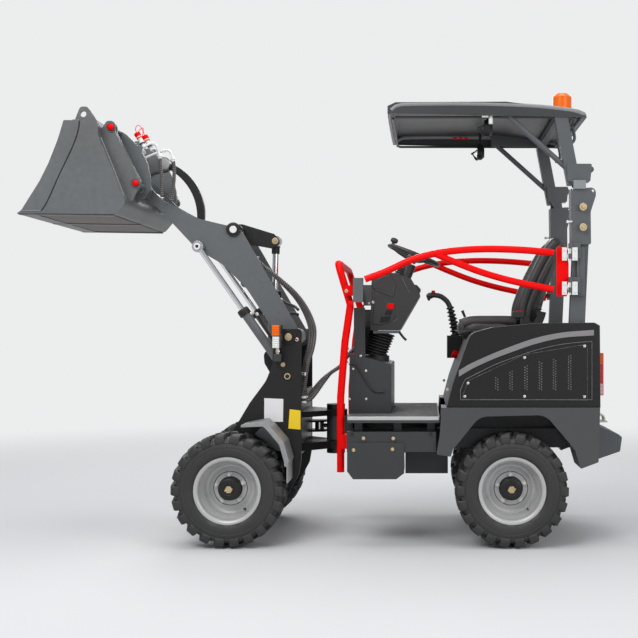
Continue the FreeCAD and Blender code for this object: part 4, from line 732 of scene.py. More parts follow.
def route(spots, spread=0.0, per=10, fan=0.0):
    """A smooth line through spots in mm, moved sideways by spread and fanned out over its first part."""
    line = spline([mm(x, y + spread, z) for x, y, z in spots], per)
    fan_end = FAN_SHARE * (len(line) - 1)
    out = []
    for i, here in enumerate(line):
        along = (line[min(i + 1, len(line) - 1)] - line[max(i - 1, 0)]).normalized()
        bulge = math.sin(math.pi * min(1.0, i / fan_end)) ** 0.7 if i < fan_end else 0.0
        out.append(here + along.cross(Y).normalized() * (fan * bulge / 1000))
    return out


def wound_strip(piece, points, radius, pitch=11.0, wide=6.4, thick=1.9):
    """A flat strip wound round a hose: 12 steps a turn."""
    even = resample(points, pitch / 12000)
    rings, side = [], None
    for i, here in enumerate(even[1:-1], 1):
        along = (even[i + 1] - even[i - 1]).normalized()
        if side is None:
            side = along.orthogonal().normalized()
        side = (side - along * side.dot(along)).normalized()
        turn = 2 * math.pi * i / 12
        out = side * math.cos(turn) + along.cross(side) * math.sin(turn)
        low, high = (radius - 0.4) / 1000, (radius + thick) / 1000
        half = along * (wide / 2000)
        rings.append(piece.ring_of([here - half + out * low, here - half * 0.8 + out * high,
                                    here + half * 0.8 + out * high, here + half + out * low]))
    piece.skin(rings)


def hose(name, points, body, blend=None, radius=8.2, wound=True):
    """A hose, bare or in a spiral wrap, on one body, or baked in place on no body when blend is given."""
    made = [Piece(name, None if blend else body, "hose_rubber", HOSE)]
    made[0].bar(resample(points, 0.012) + [points[-1]], radius, 12)
    if wound:
        # the wrap's colour carries painted highlight on its ridges
        made.append(Piece(name + "_wrap", None if blend else body, "hose_rubber", WRAP_WITH_HIGHLIGHT))
        wound_strip(made[1], points, radius)
    objects = [p.done(smooth=50) for p in made]
    for obj in objects:
        if blend:
            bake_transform(obj)
    return objects


HOSE_PITCH = 20.3
UPPER_ROUTE = [
    (149.7, 216, 790), (148, 212, 850), (139, 203, 930), (122, 172, 1000), (115, 148, 1060), (118, 134, 1120),
    (150, 116, 1200), (205, 118, 1285), (290, 126, 1370), (385, 136, 1452), (470, 143.4, 1518),
    (580, 144.4, 1570), (700, 144.4, 1622), (815, 144.4, 1688), (882, 144.4, 1756),
]
LOWER_ROUTE = [
    (149.7, 216, 796), (149, 212, 752), (130, 197, 742), (100, 178, 774), (60, 170, 826), (15, 176, 872),
    (-40, 186, 912), (-84, 189, 972), (-118, 190, 1009),
]


def make_hoses():
    """Three hoses over the boom's hub and three over the frames' hinge."""
    uppers, lowers = [], []
    for i in (-1, 0, 1):
        shift = HOSE_PITCH * i
        uppers.append(hose("boom_hose_%d" % (i + 2), route(UPPER_ROUTE, shift, fan=15.0 * i), "boom",
                           ("front_frame", "boom", (139, 203, 930), (290, 126, 1370))))
        lowers.append(hose("hinge_hose_%d" % (i + 2), route(LOWER_ROUTE, shift, fan=13.0 * i), "front_frame",
                           ("front_frame", "rear_frame", (130, 197, 742), (-84, 189, 972))))
    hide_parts("boom_hoses")
    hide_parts("tower_hoses")
    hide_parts("dash_hoses")


def make_hose_holders():
    """The tie and the clamp that hold the hoses on the tower."""
    ties = Piece("hose_tie", "front_frame", "hose_rubber", WHITE)
    for z in (866, 876):
        ties.block((134, 174, z - 1.2), (166, 246, z + 1.2))
    ties.block((137, 245, 862), (143, 262, 880))
    ties.done(bevel=0.8)
    clamp = Piece("hose_clamp", "front_frame", "rim_silver", WHITE)
    clamp.block((136, 180, 742), (160, 252, 754)).block((136, 180, 718), (160, 252, 728))
    clamp.bolt(mm(136, 216, 748), -X, 7)
    clamp.done(bevel=1.5)


def make_tilt_ports():
    """Two short hoses and their nuts on the tilt barrel."""
    ports = Piece("tilt_port_hoses", "tilt_barrel", "hose_rubber", HOSE)
    nuts = Piece("tilt_ports", "tilt_barrel", "pin_steel", WHITE)
    for z, low in ((1268, 1206), (1214, 1182)):
        run = route([(300, 24, z), (262, 40, z - 22), (222, 60, (z + low) / 2 - 6), (192, 80, low)])
        ports.bar(resample(run, 0.01), 8, 12)
        nuts.drum(mm(312, 18, z + 6), Vector((-1, 0.5, -0.5)), 9, 26, 1.5, 6)
        nuts.drum(mm(318, 14, z + 9), Vector((-1, 0.5, -0.5)), 12, 9, 1, 6)
    ports.done()
    nuts.done(smooth=25)


# ---------------------------------------------------------------- bucket and coupler

def make_coupler_pipes():
    """Two bent pipes, their hoses and the block that they start from."""
    pipes = Piece("coupler_pipes", "coupler", "pin_steel", WHITE)
    first = [(1004, 262, 2040), (978, 262, 2070), (950, 262, 2082), (926, 262, 2076), (912, 262, 2046),
             (904, 262, 2012)]
    second = [(1000, 238, 2006), (955, 238, 2026), (905, 238, 2044), (872, 238, 2053), (850, 238, 2036),
              (840, 238, 2000)]
    for spots in (first, second):
        line = route(spots)
        pipes.bar(resample(line, 0.008), 6.5, 14)
        for at, aim in ((line[0], line[1]), (line[-1], line[-2])):
            pipes.drum(at, (aim - at), 12, 17, 1.5, 6)
            pipes.drum(at, (at - aim), 10.5, 9, 1.5, 16)
        middle = line[len(line) // 2]
        pipes.drum(middle - X * 0.008, X, 10.5, 16, 1.5, 6)
    pipe_obj = pipes.done(smooth=30)
    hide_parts("coupler_hoses")
    hose("coupler_hose_1", route([(904, 262, 2014), (899, 262, 1960), (894, 262, 1890), (893, 262, 1802)]),
         "coupler")
    hose("coupler_hose_2", route([(840, 238, 2002), (834, 238, 1950), (838, 238, 1870), (852, 238, 1785)]),
         "coupler")
    block = Piece("coupling_block", "coupler", "black_paint", GREY)
    block.block((994, 226, 1990), (1018, 281.7, 2070))
    block.done(bevel=2)


def make_couplings():
    """Two quick couplings with red caps on their loops."""
    metal = Piece("couplings", "coupler", "pin_steel", WHITE)
    dark = Piece("coupling_rings", "coupler", "black_paint", BLACK)
    caps = Piece("coupling_caps", "coupler", "red_paint", RED)
    lean = Vector((0.47, 0, 0.88))
    for x, y, z in ((985, 262, 2062), (950, 238, 2052)):
        foot = mm(x, y, z)
        metal.turned([(0, 0), (0, 12), (14, 12), (15, 9.5), (20, 9.5), (21, 14), (40, 14), (41, 12), (46, 12),
                      (46, 0)], foot, lean, 20)
        dark.turned([(20.5, 10), (20.5, 14.8), (27, 14.8), (27, 10)], foot, lean, 20)
        metal.turned([(46, 0), (46, 12.5), (66, 13.5), (68, 11), (68, 0)], foot, lean, 20)
        caps.turned([(66, 0), (66, 15), (70, 16.5), (84, 16.5), (87, 14), (88, 8), (88, 0)], foot, lean, 20)
        caps.turned([(54, 11), (54, 15.4), (59, 15.4), (59, 11)], foot, lean, 20)
        top = foot + lean.normalized() * 0.086
        side = 1 if x > 960 else -1
        loop = [top, top + mm(6, 4, 22), top + mm(-6 * side, 6, 40), top + mm(-20 * side, 6, 34),
                top + mm(-34 * side, 4, 6), foot + lean.normalized() * 0.056 + mm(-14, 3, 6)]
        caps.bar(resample(spline(loop, 10), 0.003), 1.7, 8)
    metal.done(smooth=30)
    dark.done()
    caps.done(smooth=35)


def make_lock_pins():
    """Red caps on the coupler's lock pins, and the bosses round them."""
    pins = Piece("lock_pin_caps", "coupler", "red_paint", RED)
    boss = Piece("lock_pin_bosses", "coupler", "machine_grey", GREY)
    for side in (LEFT, RIGHT):
        for x, z, size in ((1108, 2135, 17), (982, 1849, 15.5)):
            pins.turned([(0, 0), (0, size), (5, size), (8, size - 1.2), (13, size * 0.62), (15, 0)],
                        mm(x, side * 450, z), Y * side, 28)
            boss.turned([(0, size + 6), (0, size + 9), (1.5, size + 10), (4, size + 9), (4, size + 5)],
                        mm(x, side * 443.5, z), Y * side, 28, loose=True)
        boss.turned([(0, 24), (8, 24), (10, 22), (10, 0)], at_pin(BOOM_TIP, side * 304), Y * side, 28,
                    loose=True)
    pins.done(smooth=40)
    boss.done()


def make_bucket_sides():
    """Reinforcing strips on the sides, a dark painted shade line along their inner edge, and weld beads along
    the hook plates and the lip.
    """
    band_piece = Piece("bucket_side_edges", "coupler", "machine_grey", BUCKET)
    inner = [(1247, 2154), (1249, 2127), (1259, 2082), (1282, 2022), (1312, 1957), (1347, 1886), (1382, 1806),
             (1410, 1745), (1436, 1703)]
    outer = [(1536, 1704.5), (1506, 1748), (1478, 1794), (1449, 1842), (1428, 1884), (1400, 1940),
             (1377, 1998), (1356, 2052), (1341, 2098), (1325, 2154)]
    for side in (LEFT, RIGHT):
        band_piece.sheet(inner + outer, (side * 519.5, side * 523))
    band_piece.done(bevel=1.2)
    shade_line = Piece("bucket_painted_shade_lines", "coupler", "black_paint", SHADE_BLACK)
    bead = Piece("bucket_welds", "coupler", "machine_grey", WELD)
    for side in (LEFT, RIGHT):
        # a near-black bar along the strip's inner edge: painted shade in the step between strip and side
        # plate
        shade_line.bar(spline([mm(x - 3, side * 519.6, z) for x, z in inner], 4), 2.6, 6)
        lip = [mm(1540, side * 520.4, 1702), mm(1450, side * 521.5, 1701.5), mm(1434, side * 522, 1699)]
        bead.bar(resample(lip, 0.006), 3.2, 8)
        points = resample([mm(1136, side * 520.5, 2068), mm(1094, side * 520.5, 1966),
                           mm(1055, side * 520.5, 1868), mm(1020, side * 520.5, 1775)], 0.005)
        rough = [3.4 + 1.1 * math.sin(i * 2.4) * math.cos(i * 0.9) for i in range(len(points))]
        bead.bar(points, rough, 8)
        bead.bar(resample([mm(1245, side * 516, 2158.5), mm(1282, side * 516, 2158.5)], 0.005), 2.8, 8)
    shade_line.done()
    bead.done(smooth=60)


def make_bucket_floor():
    """The plate, the wear strips and the cutting edge below the floor."""
    wear = Piece("bucket_floor_plate", "coupler", "machine_grey", UNDERSIDE)
    edge = [(1548, 1689.4), (1080, 1682.6), (1080, 1681.0), (1548, 1687.8)]
    wear.sheet(edge, (-470, 470))
    wear.done(bevel=0.5)
    strips = Piece("bucket_wear_strips", "coupler", "machine_grey", BUCKET)
    for y in (-500, 0, 500):
        half = 14 if y else 20
        strips.sheet([(1552, 1689.5), (1075, 1682.5), (1075, 1676), (1552, 1683)], (y - half, y + half))
    strips.sheet([(1557, 1690), (1470, 1688.6), (1470, 1683), (1557, 1686)], (-518, 518))
    strips.done(bevel=1)


# ---------------------------------------------------------------- boom and tower

def washer_and_nut(piece, spot, axis, radius, nut):
    """A round washer with a hexagon nut on it."""
    piece.turned([(0, 0), (0, radius), (2.4, radius), (3.2, radius - 1), (3.2, 0)], spot, axis, 28)
    piece.turned([(3, nut), (3 + nut * 0.7, nut), (4 + nut * 0.75, nut * 0.88), (4 + nut * 0.75, 0)], spot,
                 axis, 6, loose=True)


def make_boom_pins():
    """The ends of the boom's own pins."""
    discs = Piece("boom_pin_ends", "boom", "pin_steel", WHITE)
    dark = Piece("boom_pin_wells", "boom", "black_paint", BLACK)
    for side in (LEFT, RIGHT):
        dark.turned([(0, 0), (0, 38), (4, 38), (5, 36), (5, 24), (2, 23), (2, 0)],
                    at_pin(CRANK_PIVOT, side * 196), Y * side, 36)
        discs.turned([(0, 0), (0, 19), (2.5, 19), (3.5, 17.5), (3.5, 0)], at_pin(CRANK_PIVOT, side * 202),
                     Y * side, 28)
        discs.turned([(0, 0), (0, 20), (2.5, 20), (3.5, 18.5), (3.5, 0)], at_pin(BOOM_TIP, side * 196.2),
                     Y * side, 28)
    discs.bolt(mm(457, -174, 1510), Y, 9)
    discs.done(smooth=30)
    dark.done()


def make_linkage_pins():
    """Washers and nuts on the bell crank's pins and the lift rods' eyes."""
    crank = Piece("crank_pin_washers", "bellcrank", "pin_steel", BRASS)
    for side in (LEFT, RIGHT):
        washer_and_nut(crank, at_pin(CRANK_REAR, side * 34), Y * side, 18, 8)
        washer_and_nut(crank, at_pin(CRANK_FRONT, side * 34), Y * side, 16, 7.5)
    crank.done(smooth=30)
    rods = Piece("lift_pin_washers", "lift_rods", "pin_steel", WHITE)
    for side in (LEFT, RIGHT):
        rods.turned([(0, 8.5), (0, 18), (3, 18), (4, 17), (4, 8.5)], at_pin(LIFT_EYE, side * 257), Y * side,
                    30, loose=True)
        rods.turned([(0, 0), (1, 8.6), (1, 8.6)], at_pin(LIFT_EYE, side * 257), Y * side, 20, loose=True)
    rods.done(smooth=30)
    lift_pins = Piece("lift_pin_hubs", "lift_rods", "black_paint", BLACK)
    for side in (LEFT, RIGHT):
        lift_pins.turned([(0, 0), (0, 8.4), (2.2, 8.4), (2.2, 0)], at_pin(LIFT_EYE, side * 257), Y * side, 20)
    lift_pins.done()


def make_lift_cylinders():
    """Glands, ports and pipes on the lift barrels."""
    base, tip = Vector(LIFT_BASE), Vector(LIFT_EYE)
    along = (tip - base).normalized()
    out = Vector((-along.y, along.x))
    glands = Piece("lift_glands", "lift_barrels", "black_paint", BLACK)
    fittings = Piece("lift_ports", "lift_barrels", "pin_steel", ZINC)
    tubes = Piece("lift_pipes", "lift_barrels", "black_paint", BLACK)
    axis, outward = Vector((along.x, 0, along.y)), Vector((out.x, 0, out.y))

    def spot(side, run, off):
        p = base + along * run + out * off
        return mm(p.x, side * LIFT_Y, p.y)

    for side in (LEFT, RIGHT):
        glands.turned([(394, 24), (394, 31), (396, 32), (424, 32), (428, 30), (431, 26), (431, 16.4),
                       (394, 16.4)], spot(side, 0, 0), axis, 32, loose=True)
        glands.turned([(52, 24.4), (52, 26.5), (60, 26.5), (60, 24.4)], spot(side, 0, 0), axis, 32,
                      loose=True)
        for run in (384, 62):
            fittings.drum(spot(side, run, 22), outward, 13, 12, 1, 20)
            fittings.drum(spot(side, run, 32), outward, 10, 14, 1.5, 6)
        line = spline([spot(side, 384, 44), spot(side, 372, 52), spot(side, 340, 46), spot(side, 200, 40),
                       spot(side, 80, 44), spot(side, 66, 52)], 10)
        tubes.bar(resample(line, 0.01), 6.5, 12)
        fittings.drum(spot(side, 372, 50), Vector((-along.x, 0, -along.y)), 9.5, 18, 1.5, 6)
    glands.done(smooth=30)
    fittings.done(smooth=30)
    tubes.done()


def make_tilt_cylinder():
    """The gland on the tilt barrel and the collar on its rod."""
    ring = Piece("tilt_gland", "tilt_barrel", "black_paint", BLACK)
    foot = Vector((TILT_BASE[0], 0, TILT_BASE[1]))
    run = (Vector((CRANK_REAR[0], 0, CRANK_REAR[1])) - foot).normalized()
    ring.turned([(322, 32), (322, 38.5), (324, 39.5), (350, 39.5), (355, 37), (356, 30), (356, 17.4),
                 (322, 17.4)], foot / 1000, run, 36, loose=True)
    ring.done(smooth=30)
    fork = Piece("tilt_rod_fork", "tilt_rod", "black_paint", BLACK)
    fork.turned([(558, 16.2), (558, 20), (561, 22), (590, 22), (600, 26), (600, 16.2)], foot / 1000, run, 28,
                loose=True)
    fork.done(smooth=30)


def make_tower_details():
    """Nuts and caps on the tower's pins, and its bare plates."""
    brass = Piece("tower_pin_caps", "front_frame", "pin_steel", BRASS)
    plates = Piece("tower_plate_white", "front_frame", "rim_silver", PLATE_WHITE)
    yellow = Piece("tower_plate_yellow", "front_frame", "lamp_amber", PLATE_YELLOW)
    rings = Piece("tower_pin_keepers", "front_frame", "black_paint", BLACK)
    for side in (LEFT, RIGHT):
        washer_and_nut(brass, at_pin(BOOM_HUB, side * 287), Y * side, 19, 9)
        washer_and_nut(brass, mm(255, side * 275, 921), Y * side, 12, 6.5)
        brass.turned([(0, 0), (0, 17), (2, 17), (3, 16), (3, 0)], at_pin(LIFT_BASE, side * 285), Y * side, 28)
        rings.turned([(0, 0), (0, 11), (2, 10), (2, 0)], at_pin(LIFT_BASE, side * 288), Y * side, 24)
    brass.done(smooth=30)
    rings.done()
    plates.sheet([(353, 745), (253, 741), (255, 621), (354, 621)], (275, 276.4))
    plates.done(bevel=0.5)
    yellow.sheet([(220, 687), (163, 680), (163, 580), (227, 586)], (275, 276.4))
    yellow.done(bevel=0.5)
    cap = Piece("tower_grease_cap", "front_frame", "rim_silver", WHITE)
    cap.turned([(0, 0), (0, 10), (3, 10), (4, 8), (4, 0)], mm(183, 275, 1053), Y, 20)
    cap.done()
    red = Piece("tower_grease_cap_red", "front_frame", "red_paint", RED)
    red.turned([(0, 0), (0, 5.5), (7, 5), (8, 0)], mm(183, 279, 1053), Y, 16)
    red.done()


def side_block(piece, side, x, y, z):
    """A block on one side of the machine, from pairs of x, y and z in mm, y counted outwards."""
    y0, y1 = span(side, *y)
    piece.block((x[0], y0, z[0]), (x[1], y1, z[1]))


def make_front_lamps():
    """A turn lamp over a marker lamp on each side, on a bracket and a neck."""
    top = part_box("front_lamps")[1].z * 1000
    amber = Piece("turn_lamps", "front_frame", "lamp_amber", AMBER)
    clear = Piece("marker_lamps", "front_frame", "rim_silver", CLEAR_LENS)
    back = Piece("lamp_backs", "front_frame", "black_plastic", PLASTIC)
    neck = Piece("lamp_necks", "front_frame", "pin_steel", ZINC)
    for side in (LEFT, RIGHT):
        side_block(amber, side, (257, 300), (291, 368), (top - 56, top - 1))
        side_block(clear, side, (260, 298), (293, 366), (top - 119, top - 60))
        for i in range(5):
            side_block(amber, side, (262, 296), (368, 370), (top - 52 + i * 9.6, top - 47 + i * 9.6))
            side_block(clear, side, (264, 294), (366, 368), (top - 114 + i * 9.6, top - 109 + i * 9.6))
        side_block(back, side, (254, 262), (287, 371), (top - 120, top))
        side_block(back, side, (257, 299), (288, 292), (top - 118, top - 2))
        side_block(back, side, (257, 297), (295, 335), (top - 190, top - 152))
        side_block(back, side, (268, 286), (275, 308), (top - 110, top - 60))
        neck.drum(mm(277, side * 315, top - 152), Z, 9, 34, 1, 20)
        neck.drum(mm(277, side * 315, top - 142), Z, 12, 10, 1, 6)
    obj = amber.done(bevel=3, segments=3)
    clear.done(bevel=3, segments=3)
    back.done(bevel=3, segments=3)
    neck.done(smooth=30)
    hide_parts("front_lamps")


# ---------------------------------------------------------------- seat

def swollen(obj, cap, frames=18):
    """Blows a closed form up as stuffed cloth; no point moves further than cap, in metres."""
    remesh = obj.modifiers.new("voxels", "REMESH")
    remesh.mode = "VOXEL"
    remesh.voxel_size = 0.006
    remesh.use_smooth_shade = True
    bake(obj)
    before = [v.co.copy() for v in obj.data.vertices]
    cloth = obj.modifiers.new("cloth", "CLOTH")
    cloth.settings.use_pressure = True
    cloth.settings.uniform_pressure_force = 4.0
    cloth.settings.effector_weights.gravity = 0.0
    cloth.point_cache.frame_start, cloth.point_cache.frame_end = 1, frames
    for frame_no in range(1, frames + 1):
        scene.frame_set(frame_no)
    bake(obj)
    scene.frame_set(1)
    for vertex, old in zip(obj.data.vertices, before):
        move = vertex.co - old
        if move.length > cap:
            vertex.co = old + move * (cap / move.length)
    for face in obj.data.polygons:
        face.use_smooth = True


def bake(obj):
    """The piece's mesh with its modifiers applied."""
    graph = bpy.context.evaluated_depsgraph_get()
    mesh = bpy.data.meshes.new_from_object(obj.evaluated_get(graph))
    mesh.materials.clear()
    obj.modifiers.clear()
    old = obj.data
    finish = old.materials[0]
    obj.data = mesh
    mesh.materials.append(finish)
    bpy.data.meshes.remove(old)


def pad(name, outline, half, crown=0.0, cap=0.012, inset=8.0, node=None, channels=()):
    """A stuffed pad from an outline (x, z) in mm swept over y, blown up, with grooves pressed in."""
    piece = Piece(name, "rear_frame", "seat_vinyl", VINYL)
    middle = (sum(p[0] for p in outline) / len(outline), sum(p[1] for p in outline) / len(outline))
    rings = []
    for share in (-1, -0.96, -0.85, -0.6, -0.3, 0, 0.3, 0.6, 0.85, 0.96, 1):
        size = 1 - 0.55 * max(0, (abs(share) - 0.8) / 0.2) ** 2.2
        ring = []
        for x, z in outline:
            ring.append(mm(middle[0] + (x - middle[0]) * size, share * (half - inset),
                           middle[1] + (z - middle[1]) * size + crown * (1 - share * share)))
        rings.append(piece.ring_of(ring))
    piece.skin(rings)
    obj = piece.done()
    swollen(obj, cap)
    fine = obj.modifiers.new("fine", "SUBSURF")
    fine.levels = fine.render_levels = 1
    bake(obj)
    for test, depth, width in channels:
        for vertex in obj.data.vertices:
            off = abs(test(vertex.co * 1000))
            if off < width:
                fall = (math.cos(math.pi * off / width) + 1) / 2
                vertex.co -= vertex.normal * (depth * fall / 1000)
    for face in obj.data.polygons:
        face.use_smooth = True
    if node:
        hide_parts(node)
    return obj


def make_cushion():
    """A stuffed cushion with raised side bolsters."""
    pad("seat_pad", [(-668, 1078), (-662, 1120), (-672, 1146), (-720, 1154), (-850, 1150), (-960, 1150),
                     (-982, 1120), (-978, 1078), (-830, 1070)], 228, crown=2, cap=0.010, node="seat_cushion",
        channels=[(lambda p: abs(p.y) - 132, 9, 11), (lambda p: p.z - 1098, 3, 6),
                  (lambda p: (p.x + 770) if abs(p.y) < 132 else 99, 5, 9),
                  (lambda p: (p.x + 880) if abs(p.y) < 132 else 99, 5, 9)])
    for side, name in SIDES:
        roll = Piece("seat_bolster_" + name, "rear_frame", "seat_vinyl", VINYL)
        spots = [(-690, 1136), (-740, 1150), (-850, 1152), (-950, 1150), (-985, 1140)]
        roll.bar(resample(spline([mm(x, side * 184, z) for x, z in spots], 8), 0.01), 27, 20)
        obj = roll.done()


def make_backrest():
    """A stuffed back in a frame of rolls."""
    back = [(-1010, 1150), (-1022, 1240), (-1060, 1340), (-1108, 1440), (-1158, 1530), (-1205, 1578),
            (-1238, 1572), (-1212, 1500), (-1165, 1400), (-1122, 1290), (-1098, 1200), (-1090, 1150)]
    pad("seat_back_pad", back, 206, crown=0, cap=0.012, node="seat_back",
        channels=[(lambda p: abs(p.y) - 120, 11, 12), (lambda p: (p.z - 1300) if abs(p.y) < 120 else 99, 5,
                                                       9), (lambda p: (p.z - 1430) if abs(p.y) < 120 else 99,
                                                            5, 9)])
    for side, name in SIDES:
        for k, (grow, y, radius) in enumerate(((0, 186, 27), (12, 205, 14))):
            edge = [(-1004 + grow * 0.4, 1172), (-1012, 1240), (-1050, 1338), (-1096, 1436), (-1146, 1524),
                    (-1188, 1572)]
            roll = Piece("back_bolster_%s_%d" % (name, k + 1), "rear_frame", "seat_vinyl", VINYL)
            roll.bar(resample(spline([mm(x - grow * 2.6, side * y, z - grow) for x, z in edge], 8), 0.012),
                     radius, 18)
            roll.done()
    top = Piece("back_bolster_top", "rear_frame", "seat_vinyl", VINYL)
    top.bar(resample(spline([mm(-1188, y, 1570 + 10 * (1 - abs(y) / 186)) for y in (-186, -120, 0, 120, 186)],
                            8), 0.012), 25, 18)
    top.done()


def make_seat_mount():
    """The cushion's piping, the rails below it and the back's hinge plates."""
    piping = Piece("seat_piping", "rear_frame", "seat_vinyl", PLASTIC)
    loop = [mm(-664, y, 1098) for y in (-190, 0, 190)]
    loop += [mm(-690, 224, 1098), mm(-820, 232, 1098), mm(-960, 224, 1098)]
    piping.bar(resample(spline(loop, 8), 0.01), 3.2, 8)
    piping.bar(resample(spline([mm(p.x * 1000, -p.y * 1000, p.z * 1000) for p in loop], 8), 0.01), 3.2, 8)
    piping.done()
    shell = Piece("seat_rail", "rear_frame", "black_plastic", BLACK)
    for side in (LEFT, RIGHT):
        shell.block((-960, side * 150 - 12, 1052), (-690, side * 150 + 12, 1074))
    shell.done(bevel=2)
    hinge = Piece("seat_hinge", "rear_frame", "black_plastic", BLACK)
    for side in (LEFT, RIGHT):
        hinge.sheet([(-940, 1060), (-936, 1092), (-1000, 1176), (-1052, 1214), (-1084, 1206), (-1096, 1130),
                     (-1060, 1060)], (side * 168, side * 182))
    hinge.done(bevel=3)


def make_belt():
    """The belt's buckle with its red button, and two straps."""
    belt = Piece("belt_buckle", "rear_frame", "black_plastic", PLASTIC)
    belt.block((-1012, 232, 1166), (-952, 258, 1202)).block((-1006, 238, 1100), (-990, 252, 1170))
    belt.block((-1000, 234, 1090), (-975, 254, 1120))
    belt.done(bevel=4, segments=3)
    press = Piece("belt_button", "rear_frame", "red_paint", RED)
    press.block((-1004, 240, 1200), (-966, 252, 1205))
    press.done(bevel=1.5)
    strap = Piece("belt_strap", "rear_frame", "boot_rubber", BOOT)
    for spots in ([(-1010, 246, 1176), (-1035, 250, 1130), (-1075, 250, 1128), (-1100, 246, 1170),
                   (-1112, 240, 1215)], [(-990, 246, 1104), (-1030, 252, 1088), (-1080, 250, 1100),
                                         (-1120, 240, 1140)]):
        line = resample(spline([mm(*s) for s in spots], 8), 0.008)
        rings = []
        for a, b in zip(line, line[1:]):
            up = Y.cross((b - a).normalized()).normalized()
            rings.append(strap.ring_of([a + Y * 0.001 + up * 0.021, a - Y * 0.001 + up * 0.021,
                                        a - Y * 0.001 - up * 0.021, a + Y * 0.001 - up * 0.021]))
        strap.skin(rings)
    strap.done()


# ---------------------------------------------------------------- hood and rear

def smooth_line(points, per=6):
    """Points (x, z) in mm along a smooth line in the side view."""
    return [(p.x * 1000, p.z * 1000) for p in spline([mm(x, 0, z) for x, z in points], per)]


HOOD_SCREWS = ((-706, 836), (-690, 769), (-991, 964), (-991, 769), (-1293, 1022), (-1293, 767))
HOOD_SLOTS = ((-851, 867), (-923, 899), (-998, 927), (-1071, 947), (-1142, 961), (-1218, 976))
SLOT_FOOT, SLOT_PITCH = 803, 6.6


def make_hood_details():
    """The grey stripe, the panel's raised edge in a lighter colour as a painted highlight, screws and six
    columns of small holes on each side.
    """
    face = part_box("engine_hood")[1].y * 1000
    stripe = Piece("hood_stripe", "rear_frame", "hood_black", STRIPE)
    raised = Piece("hood_panel_edge_highlight", "rear_frame", "hood_black", PANEL)
    screws = Piece("hood_screws", "rear_frame", "pin_steel", ZINC)
    holes = Piece("hood_holes", "rear_frame", "hood_black", PANEL)
    upper = smooth_line([(-660, 899), (-715, 932), (-816, 978), (-916, 1018), (-1049, 1064), (-1183, 1091),
                         (-1340, 1104)])
    lower = smooth_line([(-660, 868), (-735, 912), (-836, 958), (-942, 998), (-1049, 1034), (-1183, 1064),
                         (-1340, 1076)])
    for side in (LEFT, RIGHT):
        for i in range(len(upper) - 1):
            stripe.sheet([upper[i], upper[i + 1], lower[i + 1], lower[i]], span(side, face - 1.0, face + 0.7))
        for x, z in HOOD_SCREWS:
            screws.bolt(mm(x, side * face, z), Y * side, 6.5, washer=2.0, head=0.5)
        # the panel's raised edge: a bar in the lighter panel colour, a painted highlight along the edge
        edge = smooth_line([(-668, 800), (-690, 850), (-720, 868), (-836, 926), (-942, 966), (-1049, 1002),
                            (-1183, 1032), (-1330, 1046)], 3)
        edge += [(-1330, 752), (-668, 752)]
        path = [mm(x, side * (face + 0.6), z) for x, z in edge + edge[:1]]
        for a, b in zip(path, path[1:]):
            raised.bar([a, b], 2.2, 6)
        for x, top in HOOD_SLOTS:
            z, row = SLOT_FOOT, 0
            while z < top:
                off = 5.5 if row % 2 else -5.5
                holes.turned([(0.0, 3.4), (0.8, 3.4), (0.8, 1.8), (0.2, 1.6), (0.2, 0)],
                             mm(x + off, side * face, z), Y * side, 8)
                z += SLOT_PITCH
                row += 1
    stripe.done(smooth=20)
    raised.done()
    screws.done()
    holes.done()


def make_hood_hinge_bolts():
    """One bolt on each side, at the hood's front."""
    bolt = Piece("hood_hinge_bolts", "rear_frame", "pin_steel", BRASS)
    for side in (LEFT, RIGHT):
        bolt.bolt(mm(-603, side * 480, 801), Y * side, 8)
    bolt.done()


def make_rear_details():
    """The tail lamps' lenses: amber above, red, and white below, in thin bars."""
    low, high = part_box("tail_lamps")
    lens = Piece("tail_lenses", "rear_frame", "lamp_red", RED_LENS)
    amber = Piece("tail_amber", "rear_frame", "lamp_amber", AMBER)
    white = Piece("tail_white", "rear_frame", "rim_silver", CLEAR_LENS)
    for side in (LEFT, RIGHT):
        outer = high.y * 1000
        for z in range(int(low.z * 1000) + 5, int(high.z * 1000) - 4, 7):
            share = (z / 1000 - low.z) / (high.z - low.z)
            piece = amber if share > 0.72 else (white if share < 0.26 else lens)
            a, b = span(side, outer - 3, outer + 0.8)
            piece.block((low.x * 1000 + 4, a, z), (high.x * 1000 - 2, b, z + 4.4))
            a, b = span(side, outer - 66, outer - 2)
            piece.block((low.x * 1000 - 0.8, a, z), (low.x * 1000 + 2, b, z + 4.4))
    for piece in (lens, amber, white):
        piece.done(bevel=1)


# ---------------------------------------------------------------- platform and steps

def make_floor_details():
    """Ribs on the floor and a strip along each edge."""
    low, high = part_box("footplate")
    strip = Piece("floor_edge_strips", "rear_frame", "floor_plate", ALUMINIUM)
    ribs = Piece("floor_ribs", "rear_frame", "floor_plate", MAT)
    top = high.z * 1000
    for side in (LEFT, RIGHT):
        a, b = span(side, high.y * 1000 - 10, high.y * 1000 + 1.5)
        strip.block((low.x * 1000 + 4, a, top - 16), (high.x * 1000 - 4, b, top + 1.6))
    y = low.y * 1000 + 24
    while y < high.y * 1000 - 22:
        ribs.block((low.x * 1000 + 8, y, top - 0.5), (high.x * 1000 - 8, y + 7, top + 2.4))
        y += 19
    strip.done(bevel=1.4)
    ribs.done(bevel=1)


